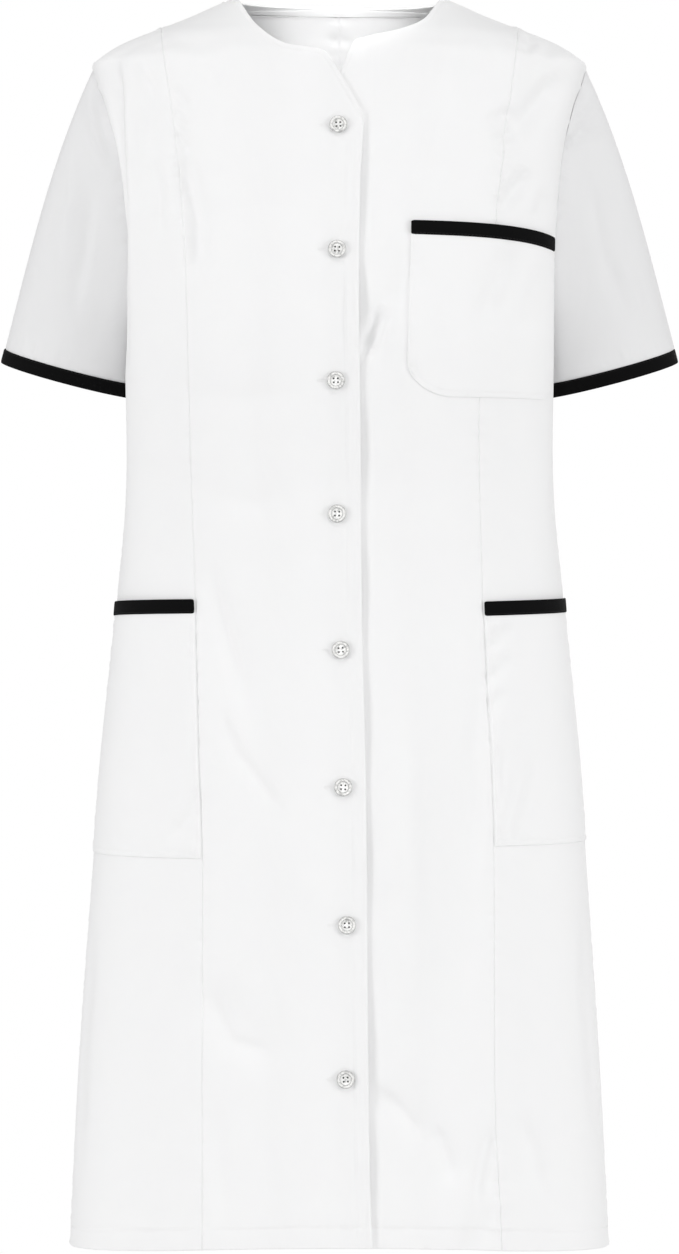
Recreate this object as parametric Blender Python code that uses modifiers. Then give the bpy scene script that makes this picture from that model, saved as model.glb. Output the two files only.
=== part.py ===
"""Nurse uniform dress in its worn shape with no wearer: a hollow shell of sewn cloth panels.

Metres, +Z up, the front towards -Y, +X towards the wearer's left. The origin is midway between
the shoulder seams, at their middle height. Every panel is a patch of one surface, which is read
from horizontal sections. A place on it is (around, height): around is an angle, 0 at the centre
front, a quarter turn at the wearer's left side and half a turn at the centre back.
"""

from collections import namedtuple
from math import acos, asin, cos, exp, pi, sin

import bmesh
import bpy
from mathutils import Matrix, Vector

# ---- driving dimensions ----
CLOTH = 0.0015  # wall of a panel
SEAM_GAP = 0.0005  # space left between two sewn edges
LAP = 0.038  # how far one front laps over the other
LAP_GAP = 0.0012  # space between the two fronts there
LAP_TOP_X = 0.0202  # the lapping edge at the top of the neckline
LAP_UNDER_CLEAR = 0.004  # the under front is full depth to here past the lapping edge
LAP_UNDER_BACK = 0.016  # and back on the common surface from here
POCKET_CLOTH = 0.0012
POCKET_LIFT = 0.0011  # space between a panel and the pocket on it
POCKET_GAPE = 0.0030  # how far a side pocket's mouth stands off
BINDING_WIDTH = 0.012
BINDING_CLOTH = 0.0020  # doubled round the edge
FACING_CLOTH = 0.0010
FACING_DEPTH = 0.007
FACING_GAP = 0.0009
HEM_FRONT = -1.010  # the front hem rides up over the bust
HEM_SIDE = -1.027
NECK_HALF_WIDTH = 0.087
BACK_NECK_CENTRE = 0.031
PRINCESS_AT_SHOULDER = 0.150
BACK_LINE_AT_HEM = 0.132  # where the back's outer columns start, at the shoulder and at the hem
SIDE_SEAM_Y = -0.018
PRESS_MIDDLE_Y = 0.010  # where the sleeve presses the side in most
PRESS_REACH = 0.072
ARMHOLE_TOP = -0.030
ARMHOLE_BOTTOM = -0.262
ARMHOLE_HALF_DEPTH = 0.048
ARMHOLE_MIDDLE_Y = 0.004
ARMHOLE_DROOP = 0.22  # how much fuller the armhole is at its foot
CUFF_CENTRE = Vector((0.2300, 0.012, -0.2945))
CUFF_HALF_WIDTH = 0.0605
CUFF_HALF_DEPTH = 0.0550
CUFF_RISE = 0.12  # rise of the cuff from front to back, for each metre of depth
SLEEVE_LEAN = 0.265  # outward lean of the sleeve, for each metre down
BUTTON_RADIUS = 0.0075
BUTTON_HEIGHT = 0.0028
BUTTON_HOLE_RADIUS = 0.0009
BUTTON_HOLE_SPACING = 0.0034
BUTTON_LIFT = 0.0010  # space between the front and a button

ROWS = 26  # rows of facets from the shoulder to the hem
ARMHOLE_ROWS = 10  # of which this many end at the armhole
ROW_GRADING = 1.5  # above 1, rows are closer together at the shoulder
ARMHOLE_GRADING = 1.2
SLEEVE_ROWS = 8

WHITE = (0.90, 0.905, 0.91)
BLACK = (0.012, 0.012, 0.014)
PEARL = (0.80, 0.79, 0.77)
CLOTH_ROUGHNESS = 0.8
PEARL_ROUGHNESS = 0.2

# ---- horizontal sections of the cloth's inner face, top to bottom ----
# square is the exponent of the rounded outline: 2 is an ellipse, and more is boxier.
# inset is how far the side is pressed in where the sleeve hangs beside it.
Section = namedtuple("Section", "height half_width front back square inset")
SECTIONS = (
    Section(0.0340, 0.064, 0.050, 0.064, 2.2, 0.000),
    Section(0.0264, 0.087, 0.056, 0.070, 2.2, 0.000),
    Section(0.0200, 0.104, 0.060, 0.074, 2.2, 0.000),
    Section(0.0094, 0.128, 0.067, 0.081, 2.2, 0.000),
    Section(0.0008, 0.150, 0.073, 0.086, 2.2, 0.000),
    Section(-0.0085, 0.174, 0.079, 0.091, 2.3, 0.000),
    Section(-0.0160, 0.190, 0.083, 0.095, 2.3, 0.000),
    Section(-0.0235, 0.201, 0.087, 0.098, 2.4, 0.000),
    Section(-0.0300, 0.207, 0.089, 0.101, 2.5, 0.000),
    Section(-0.0655, 0.199, 0.100, 0.111, 2.7, 0.002),
    Section(-0.1000, 0.192, 0.108, 0.117, 2.9, 0.005),
    Section(-0.1450, 0.187, 0.118, 0.120, 3.0, 0.010),
    Section(-0.2000, 0.184, 0.127, 0.118, 3.0, 0.015),
    Section(-0.2620, 0.1835, 0.130, 0.114, 3.0, 0.020),
    Section(-0.3100, 0.184, 0.127, 0.110, 2.9, 0.021),
    Section(-0.3500, 0.184, 0.123, 0.107, 2.8, 0.016),
    Section(-0.4000, 0.1845, 0.119, 0.106, 2.7, 0.008),
    Section(-0.4500, 0.186, 0.119, 0.110, 2.6, 0.002),
    Section(-0.4800, 0.1875, 0.120, 0.114, 2.6, 0.000),
    Section(-0.5000, 0.189, 0.121, 0.118, 2.6, 0.000),
    Section(-0.5600, 0.195, 0.126, 0.126, 2.6, 0.000),
    Section(-0.6200, 0.201, 0.131, 0.132, 2.5, 0.000),
    Section(-0.7300, 0.209, 0.138, 0.139, 2.5, 0.000),
    Section(-0.8900, 0.220, 0.146, 0.147, 2.4, 0.000),
    Section(-1.0300, 0.227, 0.152, 0.152, 2.4, 0.000),
)

# ---- lines down the front: how far across they are (x) at each height ----
FrontLine = namedtuple("FrontLine", "height right_seam lap_edge left_seam")
FRONT_LINES = (
    FrontLine(0.0008, -PRINCESS_AT_SHOULDER, LAP_TOP_X, PRINCESS_AT_SHOULDER),
    FrontLine(-0.0360, -0.1450, LAP_TOP_X, 0.1450),
    FrontLine(-0.0830, -0.1380, LAP_TOP_X, 0.1385),
    FrontLine(-0.1400, -0.1320, 0.0173, 0.1315),
    FrontLine(-0.2370, -0.1250, 0.0160, 0.1210),
    FrontLine(-0.3280, -0.1230, 0.0172, 0.1140),
    FrontLine(-0.4900, -0.1180, 0.0184, 0.1178),
    FrontLine(-0.6130, -0.1145, 0.0213, 0.1240),
    FrontLine(-0.7170, -0.1115, 0.0224, 0.1262),
    FrontLine(-0.8730, -0.1118, 0.0236, 0.1262),
    FrontLine(-0.9600, -0.1116, 0.0250, 0.1295),
    FrontLine(-1.0300, -0.1116, 0.0278, 0.1330),
)

# ---- front neckline: height of its edge, by distance from the centre to the panel's own side ----
NeckPoint = namedtuple("NeckPoint", "out right left")
NECKLINE = (
    NeckPoint(-LAP_TOP_X, -0.083, -0.087),
    NeckPoint(0.000, -0.047, -0.047),
    NeckPoint(0.014, -0.027, -0.017),
    NeckPoint(0.022, -0.025, -0.015),
    NeckPoint(0.043, -0.022, -0.011),
    NeckPoint(0.068, -0.005, -0.001),
    NeckPoint(NECK_HALF_WIDTH, 0.0264, 0.0264),
)

# ---- the largest folds: soft straight ridges, or troughs where the rise is below 0 ----
Fold = namedtuple("Fold", "face x_top z_top x_low z_low half_width rise")
FOLDS = (
    Fold("front", -0.098, -0.480, -0.045, -0.665, 0.018, -0.0035),
    Fold("front", -0.070, -0.560, -0.020, -0.760, 0.024, 0.0030),
    Fold("front", 0.050, -0.590, 0.052, -0.820, 0.020, 0.0035),
    Fold("front", 0.088, -0.480, 0.098, -0.860, 0.022, -0.0035),
    Fold("front", -0.105, -0.800, -0.055, -0.860, 0.018, -0.0030),
    Fold("front", 0.052, -0.880, 0.095, -0.960, 0.016, -0.0030),
    Fold("back", -0.075, -0.430, -0.095, -0.800, 0.024, -0.0040),
    Fold("back", 0.060, -0.520, 0.085, -0.930, 0.026, -0.0040),
    Fold("back", -0.010, -0.560, 0.004, -1.000, 0.030, 0.0040),
    Fold("back", 0.045, -0.300, 0.110, -0.420, 0.020, -0.0030),
)

# ---- pockets: heights of the bound mouth at each end, and of the foot ----
SidePocket = namedtuple("SidePocket", "name side mouth_inner mouth_outer foot")
SIDE_POCKETS = (
    SidePocket("right", -1, -0.4820, -0.4835, -0.6950),
    SidePocket("left", 1, -0.4840, -0.4805, -0.6850),
)
CHEST_MOUTH_INNER = -0.1720
CHEST_MOUTH_OUTER = -0.1800
CHEST_FOOT = -0.3165
CHEST_INNER_X = 0.0585
CHEST_INNER_LEAN = 0.03  # the inner edge leans to the centre, for each metre down
CHEST_OUTER_Y = -0.062
CHEST_WIDTH = 0.150
CHEST_INNER_RADIUS = 0.030
CHEST_OUTER_RADIUS = 0.022

Button = namedtuple("Button", "x z")
BUTTONS = (
    Button(-0.001, -0.092),
    Button(-0.002, -0.196),
    Button(-0.003, -0.303),
    Button(-0.002, -0.412),
    Button(0.001, -0.524),
    Button(0.003, -0.636),
    Button(0.006, -0.748),
    Button(0.005, -0.873),
)


# ---- reading the tables ----
def mix(a, b, t):
    return a + (b - a) * t


def fade(start, end, value):
    """0 before start, 1 after end, and soft between."""
    t = min(max((value - start) / (end - start), 0.0), 1.0)
    return t * t * (3 - 2 * t)


def smooth_reading(places, values, at):
    """Value at a place, on a smooth line through rising places that never overshoots the rows."""
    if at <= places[0]:
        return values[0]
    if at >= places[-1]:
        return values[-1]
    steps = [b - a for a, b in zip(places, places[1:])]
    slopes = [(b - a) / step for a, b, step in zip(values, values[1:], steps)]
    i = max(k for k in range(len(steps)) if places[k] <= at)

    def tangent(k):
        if k in (0, len(steps)):
            return slopes[min(k, len(steps) - 1)]
        before, after = slopes[k - 1], slopes[k]
        return 2 * before * after / (before + after) if before * after > 0 else 0.0

    t = (at - places[i]) / steps[i]
    rise = values[i + 1] - values[i]
    leave = tangent(i) * steps[i]
    arrive = tangent(i + 1) * steps[i]
    bend = 3 * rise - 2 * leave - arrive
    return values[i] + leave * t + bend * t**2 + (leave + arrive - 2 * rise) * t**3


def by_height(table, column, height):
    """A column of a table, whose rows run from the top down, at a height."""
    rows = table[::-1]
    return smooth_reading([r.height for r in rows], [getattr(r, column) for r in rows], height)


def section_at(height):
    return Section(height, *(by_height(SECTIONS, column, height) for column in Section._fields[1:]))


def front_line(column, height):
    return by_height(FRONT_LINES, column, height)


def shoulder_height(x):
    """Height of the shoulder seam: where the sections are only as wide as x."""
    rows = [r for r in SECTIONS if r.height >= ARMHOLE_TOP]
    return smooth_reading([r.half_width for r in rows], [r.height for r in rows], abs(x))


def neck_or_shoulder(side):
    """Rule for the height of a front's top edge at x, on one side."""
    places = [p.out for p in NECKLINE]
    heights = [p.left if side > 0 else p.right for p in NECKLINE]

    def top(x):
        if side * x > NECK_HALF_WIDTH:
            return shoulder_height(x)
        return smooth_reading(places, heights, side * x)

    return top


def back_top(x):
    """Height of the back's top edge at x."""
    if abs(x) >= NECK_HALF_WIDTH:
        return shoulder_height(x)
    neck_point = shoulder_height(NECK_HALF_WIDTH)
    return mix(BACK_NECK_CENTRE, neck_point, (x / NECK_HALF_WIDTH) ** 2)


def hem_height(around):
    """Height of the hem: higher at the centre front, level from the sides back."""
    if cos(around) < 0:
        return HEM_SIDE
    return mix(HEM_FRONT, HEM_SIDE, sin(around) ** 2)


# ---- the surface of the body ----
def folds_at(face, x, z):
    """How far the large folds move the cloth out, at a place on the front or the back."""
    total = 0.0
    for fold in FOLDS:
        if fold.face != face:
            continue
        along = Vector((fold.x_low - fold.x_top, fold.z_low - fold.z_top))
        place = Vector((x - fold.x_top, z - fold.z_top))
        t = place.dot(along) / along.length_squared
        off = (place - along * t).length
        ends = fade(-0.15, 0.25, t) * (1 - fade(0.75, 1.15, t))
        total += fold.rise * ends * exp(-((off / fold.half_width) ** 2))
    return total


def press(y):
    """Share of the side's inset at a depth, none at the front and back corners, and its slope."""
    t = (y - PRESS_MIDDLE_Y) / PRESS_REACH
    if abs(t) >= 1:
        return 0.0, 0.0
    return (1 - t * t) ** 2, -4 * t * (1 - t * t) / PRESS_REACH


def body_point(around, height, lift=0.0):
    """Point of the cloth's inner face moved out by lift, and the way out."""
    step = 0.001
    here = section_at(height)
    above = section_at(height + step)
    below = section_at(height - step)
    face = "front" if cos(around) >= 0 else "back"
    side = 1 if sin(around) >= 0 else -1
    ahead = -1 if face == "front" else 1
    depth = getattr(here, face)
    width_growth = (above.half_width - below.half_width) / (2 * step)
    depth_growth = (getattr(above, face) - getattr(below, face)) / (2 * step)
    inset_growth = (above.inset - below.inset) / (2 * step)
    wide = abs(sin(around)) ** (2 / here.square)
    deep = abs(cos(around)) ** (2 / here.square)
    y = ahead * depth * deep
    pressed, press_slope = press(y)
    x = side * (here.half_width * wide - here.inset * pressed)
    # the outline is (x / half_width) ** square + (y / depth) ** square = 1, and out its gradient
    x_part = wide ** (here.square - 1) / here.half_width
    y_part = deep ** (here.square - 1) / depth
    out = Vector(
        (
            side * x_part,
            ahead * y_part + x_part * here.inset * press_slope,
            x_part * (inset_growth * pressed - wide * width_growth) - y_part * deep * depth_growth,
        )
    ).normalized()
    return Vector((x, y, height)) + out * (lift + folds_at(face, x, height)), out


def around_at_x(x, height):
    """Place on the front where the cloth crosses x."""
    here = section_at(height)
    share = min(abs(x) / here.half_width, 1.0)
    return asin(share ** (here.square / 2)) * (1 if x >= 0 else -1)


def around_at_y(y, height, side):
    """Place on one side where the cloth crosses y."""
    here = section_at(height)
    depth = here.front if y < 0 else here.back
    turn = acos(min(abs(y) / depth, 1.0) ** (here.square / 2))
    return side * (turn if y < 0 else pi - turn)


def behind(around):
    """The same place counted from 0 to a full turn, so that the back has no jump in it."""
    return around % (2 * pi)


# ---- columns of places, top to bottom, that the panels are made of ----
def hanging_column(across, top, face="front"):
    """Column from a top edge to the hem. across(height) is its x, top(x) its top height."""
    start = 0.0
    for _ in range(12):
        start = top(across(start))
    front = face == "front"
    end = hem_height(around_at_x(across(HEM_SIDE), HEM_SIDE)) if front else HEM_SIDE
    on_shoulder = abs(across(start)) > NECK_HALF_WIDTH - 0.0001
    column = []
    for row in range(ROWS + 1):
        height = mix(start, end, (row / ROWS) ** ROW_GRADING)
        x = across(height)
        if row == 0 and on_shoulder:
            beside_seam = -SEAM_GAP / 2 if front else SEAM_GAP / 2
            around = around_at_y(beside_seam, height, 1 if x >= 0 else -1)
        else:
            around = around_at_x(x, height)
            around = around if front else pi - around
        column.append((around if front else behind(around), height))
    return column


def armhole_swing(row):
    """Angle round the armhole from the shoulder to a row."""
    return pi * (row / ARMHOLE_ROWS) ** ARMHOLE_GRADING


def armhole_place(row, face, side):
    """Place on the armhole's edge, from the shoulder (row 0) to the underarm (ARMHOLE_ROWS)."""
    swing = armhole_swing(row)
    toward = -1 if face == "front" else 1
    middle = (ARMHOLE_TOP + ARMHOLE_BOTTOM) / 2
    height = middle + (ARMHOLE_TOP - middle) * cos(swing)
    reach = ARMHOLE_HALF_DEPTH * sin(swing) * (1 - ARMHOLE_DROOP * cos(swing))
    # the foot of the armhole swings forward to meet the side seam
    y = SIDE_SEAM_Y * (row / ARMHOLE_ROWS) ** 6 + ARMHOLE_MIDDLE_Y * sin(swing) + toward * reach
    if row in (0, ARMHOLE_ROWS):
        y += toward * SEAM_GAP / 2
    around = around_at_y(y, height, side)
    return (around if face == "front" else behind(around)), height


def side_column(face, side):
    """Column down the armhole's edge and then the side seam."""
    column = [armhole_place(row, face, side) for row in range(ARMHOLE_ROWS + 1)]
    y = SIDE_SEAM_Y + SEAM_GAP / 2 * (-1 if face == "front" else 1)
    for row in range(ARMHOLE_ROWS + 1, ROWS + 1):
        share = (row - ARMHOLE_ROWS) / (ROWS - ARMHOLE_ROWS)
        height = mix(ARMHOLE_BOTTOM, HEM_SIDE, share**1.1)
        around = around_at_y(y, height, side)
        column.append(((around if face == "front" else behind(around)), height))
    return column


def between(first, second, share):
    """Column part of the way from one to another."""
    return [(mix(a[0], b[0], share), mix(a[1], b[1], share)) for a, b in zip(first, second)]


# ---- turning grids of points into cloth ----
def material(name, colour, roughness):
    made = bpy.data.materials.new(name)
    made.use_nodes = True
    shader = made.node_tree.nodes["Principled BSDF"]
    shader.inputs["Base Color"].default_value = (*colour, 1.0)
    shader.inputs["Roughness"].default_value = roughness
    shader.inputs["Metallic"].default_value = 0.0
    return made


def cloth(name, columns, wall, grow_out=True, colour=WHITE, closed=False):
    """One piece of cloth: a sheet of points, column by column, with a wall from Solidify."""
    sheet = bmesh.new()
    grid = [[sheet.verts.new(point) for point in column] for column in columns]
    pairs = list(zip(grid, grid[1:]))
    if closed:
        pairs.append((grid[-1], grid[0]))
    for left, right in pairs:
        for row in range(len(left) - 1):
            sheet.faces.new((left[row], left[row + 1], right[row + 1], right[row]))
    mesh = bpy.data.meshes.new(name)
    sheet.to_mesh(mesh)
    sheet.free()
    mesh.shade_smooth()
    mesh.materials.append(material(name, colour, CLOTH_ROUGHNESS))
    piece = bpy.data.objects.new(name, mesh)
    dress.objects.link(piece)
    solidify = piece.modifiers.new("wall", "SOLIDIFY")
    solidify.thickness = wall
    solidify.offset = 1.0 if grow_out else -1.0
    solidify.use_quality_normals = True
    return piece


def panel(name, columns, lift_at=None):
    """A piece of the body. lift_at is a rule of x and height for moving it out."""
    grid = []
    for column in columns:
        points = []
        for around, height in column:
            point, out = body_point(around, height)
            if lift_at:
                point = point + out * lift_at(point.x, height)
            points.append(point)
        grid.append(points)
    return cloth(name, grid, CLOTH)


# ---- fronts ----
def front_right():
    """The wearer's right front, from the princess seam to the edge that laps over."""
    stations = (
        *(-LAP_TOP_X, -0.003, 0.014, 0.029, 0.045, 0.060, 0.072, 0.081),
        *(NECK_HALF_WIDTH, 0.108, 0.129, PRINCESS_AT_SHOULDER),
    )
    columns = []
    for station in stations:
        share = (station + LAP_TOP_X) / (PRINCESS_AT_SHOULDER + LAP_TOP_X)

        def across(height, share=share):
            seam = front_line("right_seam", height) + SEAM_GAP / 2
            return mix(front_line("lap_edge", height), seam, share)

        columns.append(hanging_column(across, neck_or_shoulder(-1)))
    panel("front_right", columns[::-1])


def lap_recess(x, height):
    """The left front steps in by its wall and the gap where the right one laps over it."""
    past_edge = x - front_line("lap_edge", height)
    return -(CLOTH + LAP_GAP) * (1 - fade(LAP_UNDER_CLEAR, LAP_UNDER_BACK, past_edge))


def front_left():
    """The wearer's left front, from the edge that laps under to the princess seam."""
    columns = []
    for offset in (-LAP, -0.020, LAP_UNDER_CLEAR):

        def beside_edge(height, offset=offset):
            return front_line("lap_edge", height) + offset

        columns.append(hanging_column(beside_edge, neck_or_shoulder(1)))
    first = LAP_TOP_X + LAP_UNDER_BACK
    stations = (first, 0.048, 0.060, 0.072, 0.081, NECK_HALF_WIDTH, 0.108, 0.129, PRINCESS_AT_SHOULDER)
    for station in stations:
        share = (station - first) / (PRINCESS_AT_SHOULDER - first)

        def across(height, share=share):
            seam = front_line("left_seam", height) - SEAM_GAP / 2
            return mix(front_line("lap_edge", height) + LAP_UNDER_BACK, seam, share)

        columns.append(hanging_column(across, neck_or_shoulder(1)))
    panel("front_left", columns, lap_recess)


def side_front(name, side):
    """From the princess seam to the armhole and the side seam."""
    steps = 5

    def beside_seam(height):
        return front_line(name + "_seam", height) + side * SEAM_GAP / 2

    seam = hanging_column(beside_seam, shoulder_height)
    edge = side_column("front", side)
    columns = [between(seam, edge, i / steps) for i in range(steps + 1)]
    panel("side_front_" + name, columns if side > 0 else columns[::-1])


# ---- back ----
def back_columns(side):
    """Columns of one half of the back, from its side seam to the centre seam."""
    stations = (SEAM_GAP / 2, 0.025, 0.048, 0.067, 0.080, NECK_HALF_WIDTH, 0.118, PRINCESS_AT_SHOULDER)
    hung = []
    for station in stations:

        def across(height, station=station):
            narrowing = mix(1.0, BACK_LINE_AT_HEM / PRINCESS_AT_SHOULDER, fade(0.0, 0.3, -height))
            return side * station * narrowing

        hung.append(hanging_column(across, back_top, "back"))
    # closer together beside the armhole, where the side is pressed in
    shares = (0.0, 0.12, 0.28, 0.46, 0.70)
    edge = side_column("back", side)
    return [between(edge, hung[-1], share) for share in shares] + hung[::-1]


def back():
    """The two halves, sewn at the centre, and the facing inside their neck edge."""
    left = back_columns(1)
    right = back_columns(-1)[::-1]
    panel("back_left", left)
    panel("back_right", right)
    neck_facing(left + right)


def neck_facing(columns):
    """Strip inside the back neck, laid on the first facets of the back's middle columns."""
    neck_point = shoulder_height(NECK_HALF_WIDTH)
    grid = []
    for column in columns:
        if column[0][1] < neck_point - 0.0001:
            continue
        edge, out = body_point(*column[0])
        below, _ = body_point(*column[1])
        down = (below - edge).normalized()
        drops = (SEAM_GAP, SEAM_GAP + FACING_DEPTH)
        grid.append([edge + down * drop - out * FACING_GAP for drop in drops])
    # the ends stop just short of the shoulder seams
    for end, beside in ((0, 1), (-1, -2)):
        grid[end] = [a.lerp(b, 0.06) for a, b in zip(grid[end], grid[beside])]
    cloth("neck_facing", grid, FACING_CLOTH, grow_out=False)


# ---- sleeves ----
def sleeve_curves(side):
    """Curves down the sleeve, one for each armhole point: down the front edge, up the back."""
    across = Vector((side, 0, 0))
    axis = Vector((side * SLEEVE_LEAN, 0, -1)).normalized()
    outward = Vector((side, 0, SLEEVE_LEAN)).normalized()
    backward = Vector((0, 1, CUFF_RISE))
    centre = Vector((side * CUFF_CENTRE.x, CUFF_CENTRE.y, CUFF_CENTRE.z))
    down = [(row, "front") for row in range(ARMHOLE_ROWS + 1)]
    up = [(row, "back") for row in range(ARMHOLE_ROWS - 1, 0, -1)]
    curves = []
    for row, face in down + up:
        swing = armhole_swing(row) * (1 if face == "front" else -1)
        edge, out = body_point(*armhole_place(row, face, side))
        start = edge + out * (CLOTH + SEAM_GAP) + across * SEAM_GAP
        to_side = outward * CUFF_HALF_WIDTH * cos(swing)
        end = centre + to_side - backward * CUFF_HALF_DEPTH * sin(swing)
        reach = (end - start).length
        leave = (axis + across * (0.20 + 0.25 * sin(swing) ** 2)).normalized() * reach
        away = (outward * cos(swing) - backward * sin(swing)).normalized()
        curves.append((start, leave, end, axis * reach, away))
    return curves if side < 0 else curves[::-1]


def along_curve(curve, left_over, lift=0.0):
    """Point of a sleeve curve, by the length left over below it when the curve is nearly straight."""
    start, leave, end, arrive, away = curve
    t = 1 - left_over / arrive.length
    point = start * (2 * t**3 - 3 * t**2 + 1) + leave * (t**3 - 2 * t**2 + t)
    point = point + end * (3 * t**2 - 2 * t**3) + arrive * (t**3 - t**2)
    return point + away * lift


def sleeve(name, side):
    """Short sleeve, and the binding round its edge."""
    columns = []
    bands = []
    for curve in sleeve_curves(side):
        last = BINDING_WIDTH + SEAM_GAP
        lengths = [mix(curve[3].length, last, row / SLEEVE_ROWS) for row in range(SLEEVE_ROWS + 1)]
        columns.append([along_curve(curve, length) for length in lengths])
        bands.append([along_curve(curve, length, 0.0003) for length in (BINDING_WIDTH, 0.0)])
    cloth("sleeve_" + name, columns, CLOTH, grow_out=False, closed=True)
    cloth("cuff_binding_" + name, bands, BINDING_CLOTH, grow_out=False, colour=BLACK, closed=True)


# ---- pockets ----
def pocket_patch(place_at, start_at, end_at, shares, rows, lift_at):
    """Grid of points over the body for shares of the width, and rows from start to end."""
    grid = []
    for share in shares:
        points = []
        for row in range(rows + 1):
            height = mix(start_at(share), end_at(share), row / rows)
            around = place_at(share, height)
            points.append(body_point(around, height, lift_at(share, height))[0])
        grid.append(points)
    return grid


def pocket(name, place_at, mouth_at, foot_at, shares, rows, lift_at, side=1):
    """A patch pocket below its bound mouth."""

    def binding_foot(share):
        return mouth_at(share) - BINDING_WIDTH

    def cloth_top(share):
        return binding_foot(share) - SEAM_GAP

    patch = pocket_patch(place_at, cloth_top, foot_at, shares, rows, lift_at)
    band = pocket_patch(place_at, mouth_at, binding_foot, shares, 1, lift_at)
    cloth(name[0], patch[::side], POCKET_CLOTH)
    cloth(name[1], band[::side], BINDING_CLOTH, colour=BLACK)


def side_pocket(row):
    """Pocket that fills the side front from the princess seam to the side seam."""

    def place_at(share, height):
        seam_x = front_line(row.name + "_seam", height) + row.side * SEAM_GAP
        outer = around_at_y(SIDE_SEAM_Y - SEAM_GAP, height, row.side)
        return mix(around_at_x(seam_x, height), outer, share)

    def mouth_at(share):
        return mix(row.mouth_inner, row.mouth_outer, share)

    def foot_at(share):
        return row.foot

    def lift_at(share, height):
        open_share = sin(pi * share) * fade(row.foot, row.mouth_inner, height) ** 2
        return CLOTH + POCKET_LIFT + POCKET_GAPE * open_share

    names = ("side_pocket_" + row.name, "side_pocket_binding_" + row.name)
    shares = [i / 5 for i in range(6)]
    pocket(names, place_at, mouth_at, foot_at, shares, 8, lift_at, row.side)


def chest_pocket():
    """Patch pocket on the wearer's left, with rounded lower corners."""

    def place_at(share, height):
        inner_x = CHEST_INNER_X + CHEST_INNER_LEAN * min(height - CHEST_MOUTH_OUTER, 0.0)
        outer = around_at_y(CHEST_OUTER_Y, height, 1)
        return mix(around_at_x(inner_x, height), outer, share)

    def mouth_at(share):
        return mix(CHEST_MOUTH_INNER, CHEST_MOUTH_OUTER, share)

    def foot_at(share):
        corners = (share, CHEST_INNER_RADIUS), (1 - share, CHEST_OUTER_RADIUS)
        for from_edge, radius in corners:
            short_of_round = radius - from_edge * CHEST_WIDTH
            if short_of_round > 0:
                return CHEST_FOOT + radius - (radius**2 - short_of_round**2) ** 0.5
        return CHEST_FOOT

    def lift_at(share, height):
        return CLOTH + POCKET_LIFT

    names = ("chest_pocket", "chest_pocket_binding")
    shares = (0.0, 0.02, 0.08, 0.18, 0.32, 0.46, 0.60, 0.74, 0.87, 0.96, 1.0)
    pocket(names, place_at, mouth_at, foot_at, shares, 6, lift_at)


# ---- buttons ----
def button_blank():
    """Turned disc with a sunk middle and a raised rim."""
    well = BUTTON_HEIGHT * 0.62
    profile = (
        (0.0, well),
        (BUTTON_RADIUS * 0.56, well),
        (BUTTON_RADIUS * 0.74, BUTTON_HEIGHT),
        (BUTTON_RADIUS * 0.90, BUTTON_HEIGHT),
        (BUTTON_RADIUS, BUTTON_HEIGHT * 0.65),
        (BUTTON_RADIUS * 0.88, 0.0),
        (0.0, 0.0),
    )
    mesh = bpy.data.meshes.new("button_blank")
    edges = [(i, i + 1) for i in range(len(profile) - 1)]
    mesh.from_pydata([(radius, 0, height) for radius, height in profile], edges, [])
    blank = bpy.data.objects.new("button_blank", mesh)
    cutters.objects.link(blank)
    turn = blank.modifiers.new("turn", "SCREW")
    turn.steps = 20
    turn.render_steps = 20
    turn.use_merge_vertices = True
    turn.merge_threshold = 0.00001
    return blank


def button_drill():
    """Four pins that cut the thread holes."""
    pins = bmesh.new()
    reach = BUTTON_HOLE_SPACING / 2
    for x in (-reach, reach):
        for y in (-reach, reach):
            bmesh.ops.create_cone(
                pins,
                cap_ends=True,
                segments=8,
                radius1=BUTTON_HOLE_RADIUS,
                radius2=BUTTON_HOLE_RADIUS,
                depth=BUTTON_HEIGHT * 4,
                matrix=Matrix.Translation((x, y, 0)),
            )
    mesh = bpy.data.meshes.new("button_drill")
    pins.to_mesh(mesh)
    pins.free()
    drill = bpy.data.objects.new("button_drill", mesh)
    drill.hide_render = True
    drill.display_type = "WIRE"
    cutters.objects.link(drill)
    return drill


def button_mesh():
    """The drilled button, turned about +Z with its back at 0."""
    blank = button_blank()
    holes = blank.modifiers.new("holes", "BOOLEAN")
    holes.object = button_drill()
    bpy.context.view_layer.update()
    graph = bpy.context.evaluated_depsgraph_get()
    mesh = bpy.data.meshes.new_from_object(blank.evaluated_get(graph))
    bpy.data.objects.remove(blank, do_unlink=True)
    mesh.name = "button"
    mesh.shade_smooth()
    mesh.set_sharp_from_angle(angle=0.6)
    mesh.materials.clear()
    mesh.materials.append(material("button", PEARL, PEARL_ROUGHNESS))
    return mesh


def buttons():
    """Buttons down the lapping front, each square to the cloth under it."""
    mesh = button_mesh()
    for number, row in enumerate(BUTTONS, start=1):
        place, out = body_point(around_at_x(row.x, row.z), row.z, CLOTH + BUTTON_LIFT)
        button = bpy.data.objects.new(f"button_{number}", mesh)
        button.location = place
        button.rotation_euler = out.to_track_quat("Z", "Y").to_euler()
        dress.objects.link(button)


def build():
    front_right()
    front_left()
    for name, side in (("right", -1), ("left", 1)):
        side_front(name, side)
        sleeve(name, side)
    back()
    chest_pocket()
    for row in SIDE_POCKETS:
        side_pocket(row)
    buttons()


for old in list(bpy.data.objects):
    bpy.data.objects.remove(old, do_unlink=True)
dress = bpy.data.collections.new("nurse_uniform_dress")
bpy.context.scene.collection.children.link(dress)
cutters = bpy.data.collections.new("cutters")
bpy.context.scene.collection.children.link(cutters)
build()
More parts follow.
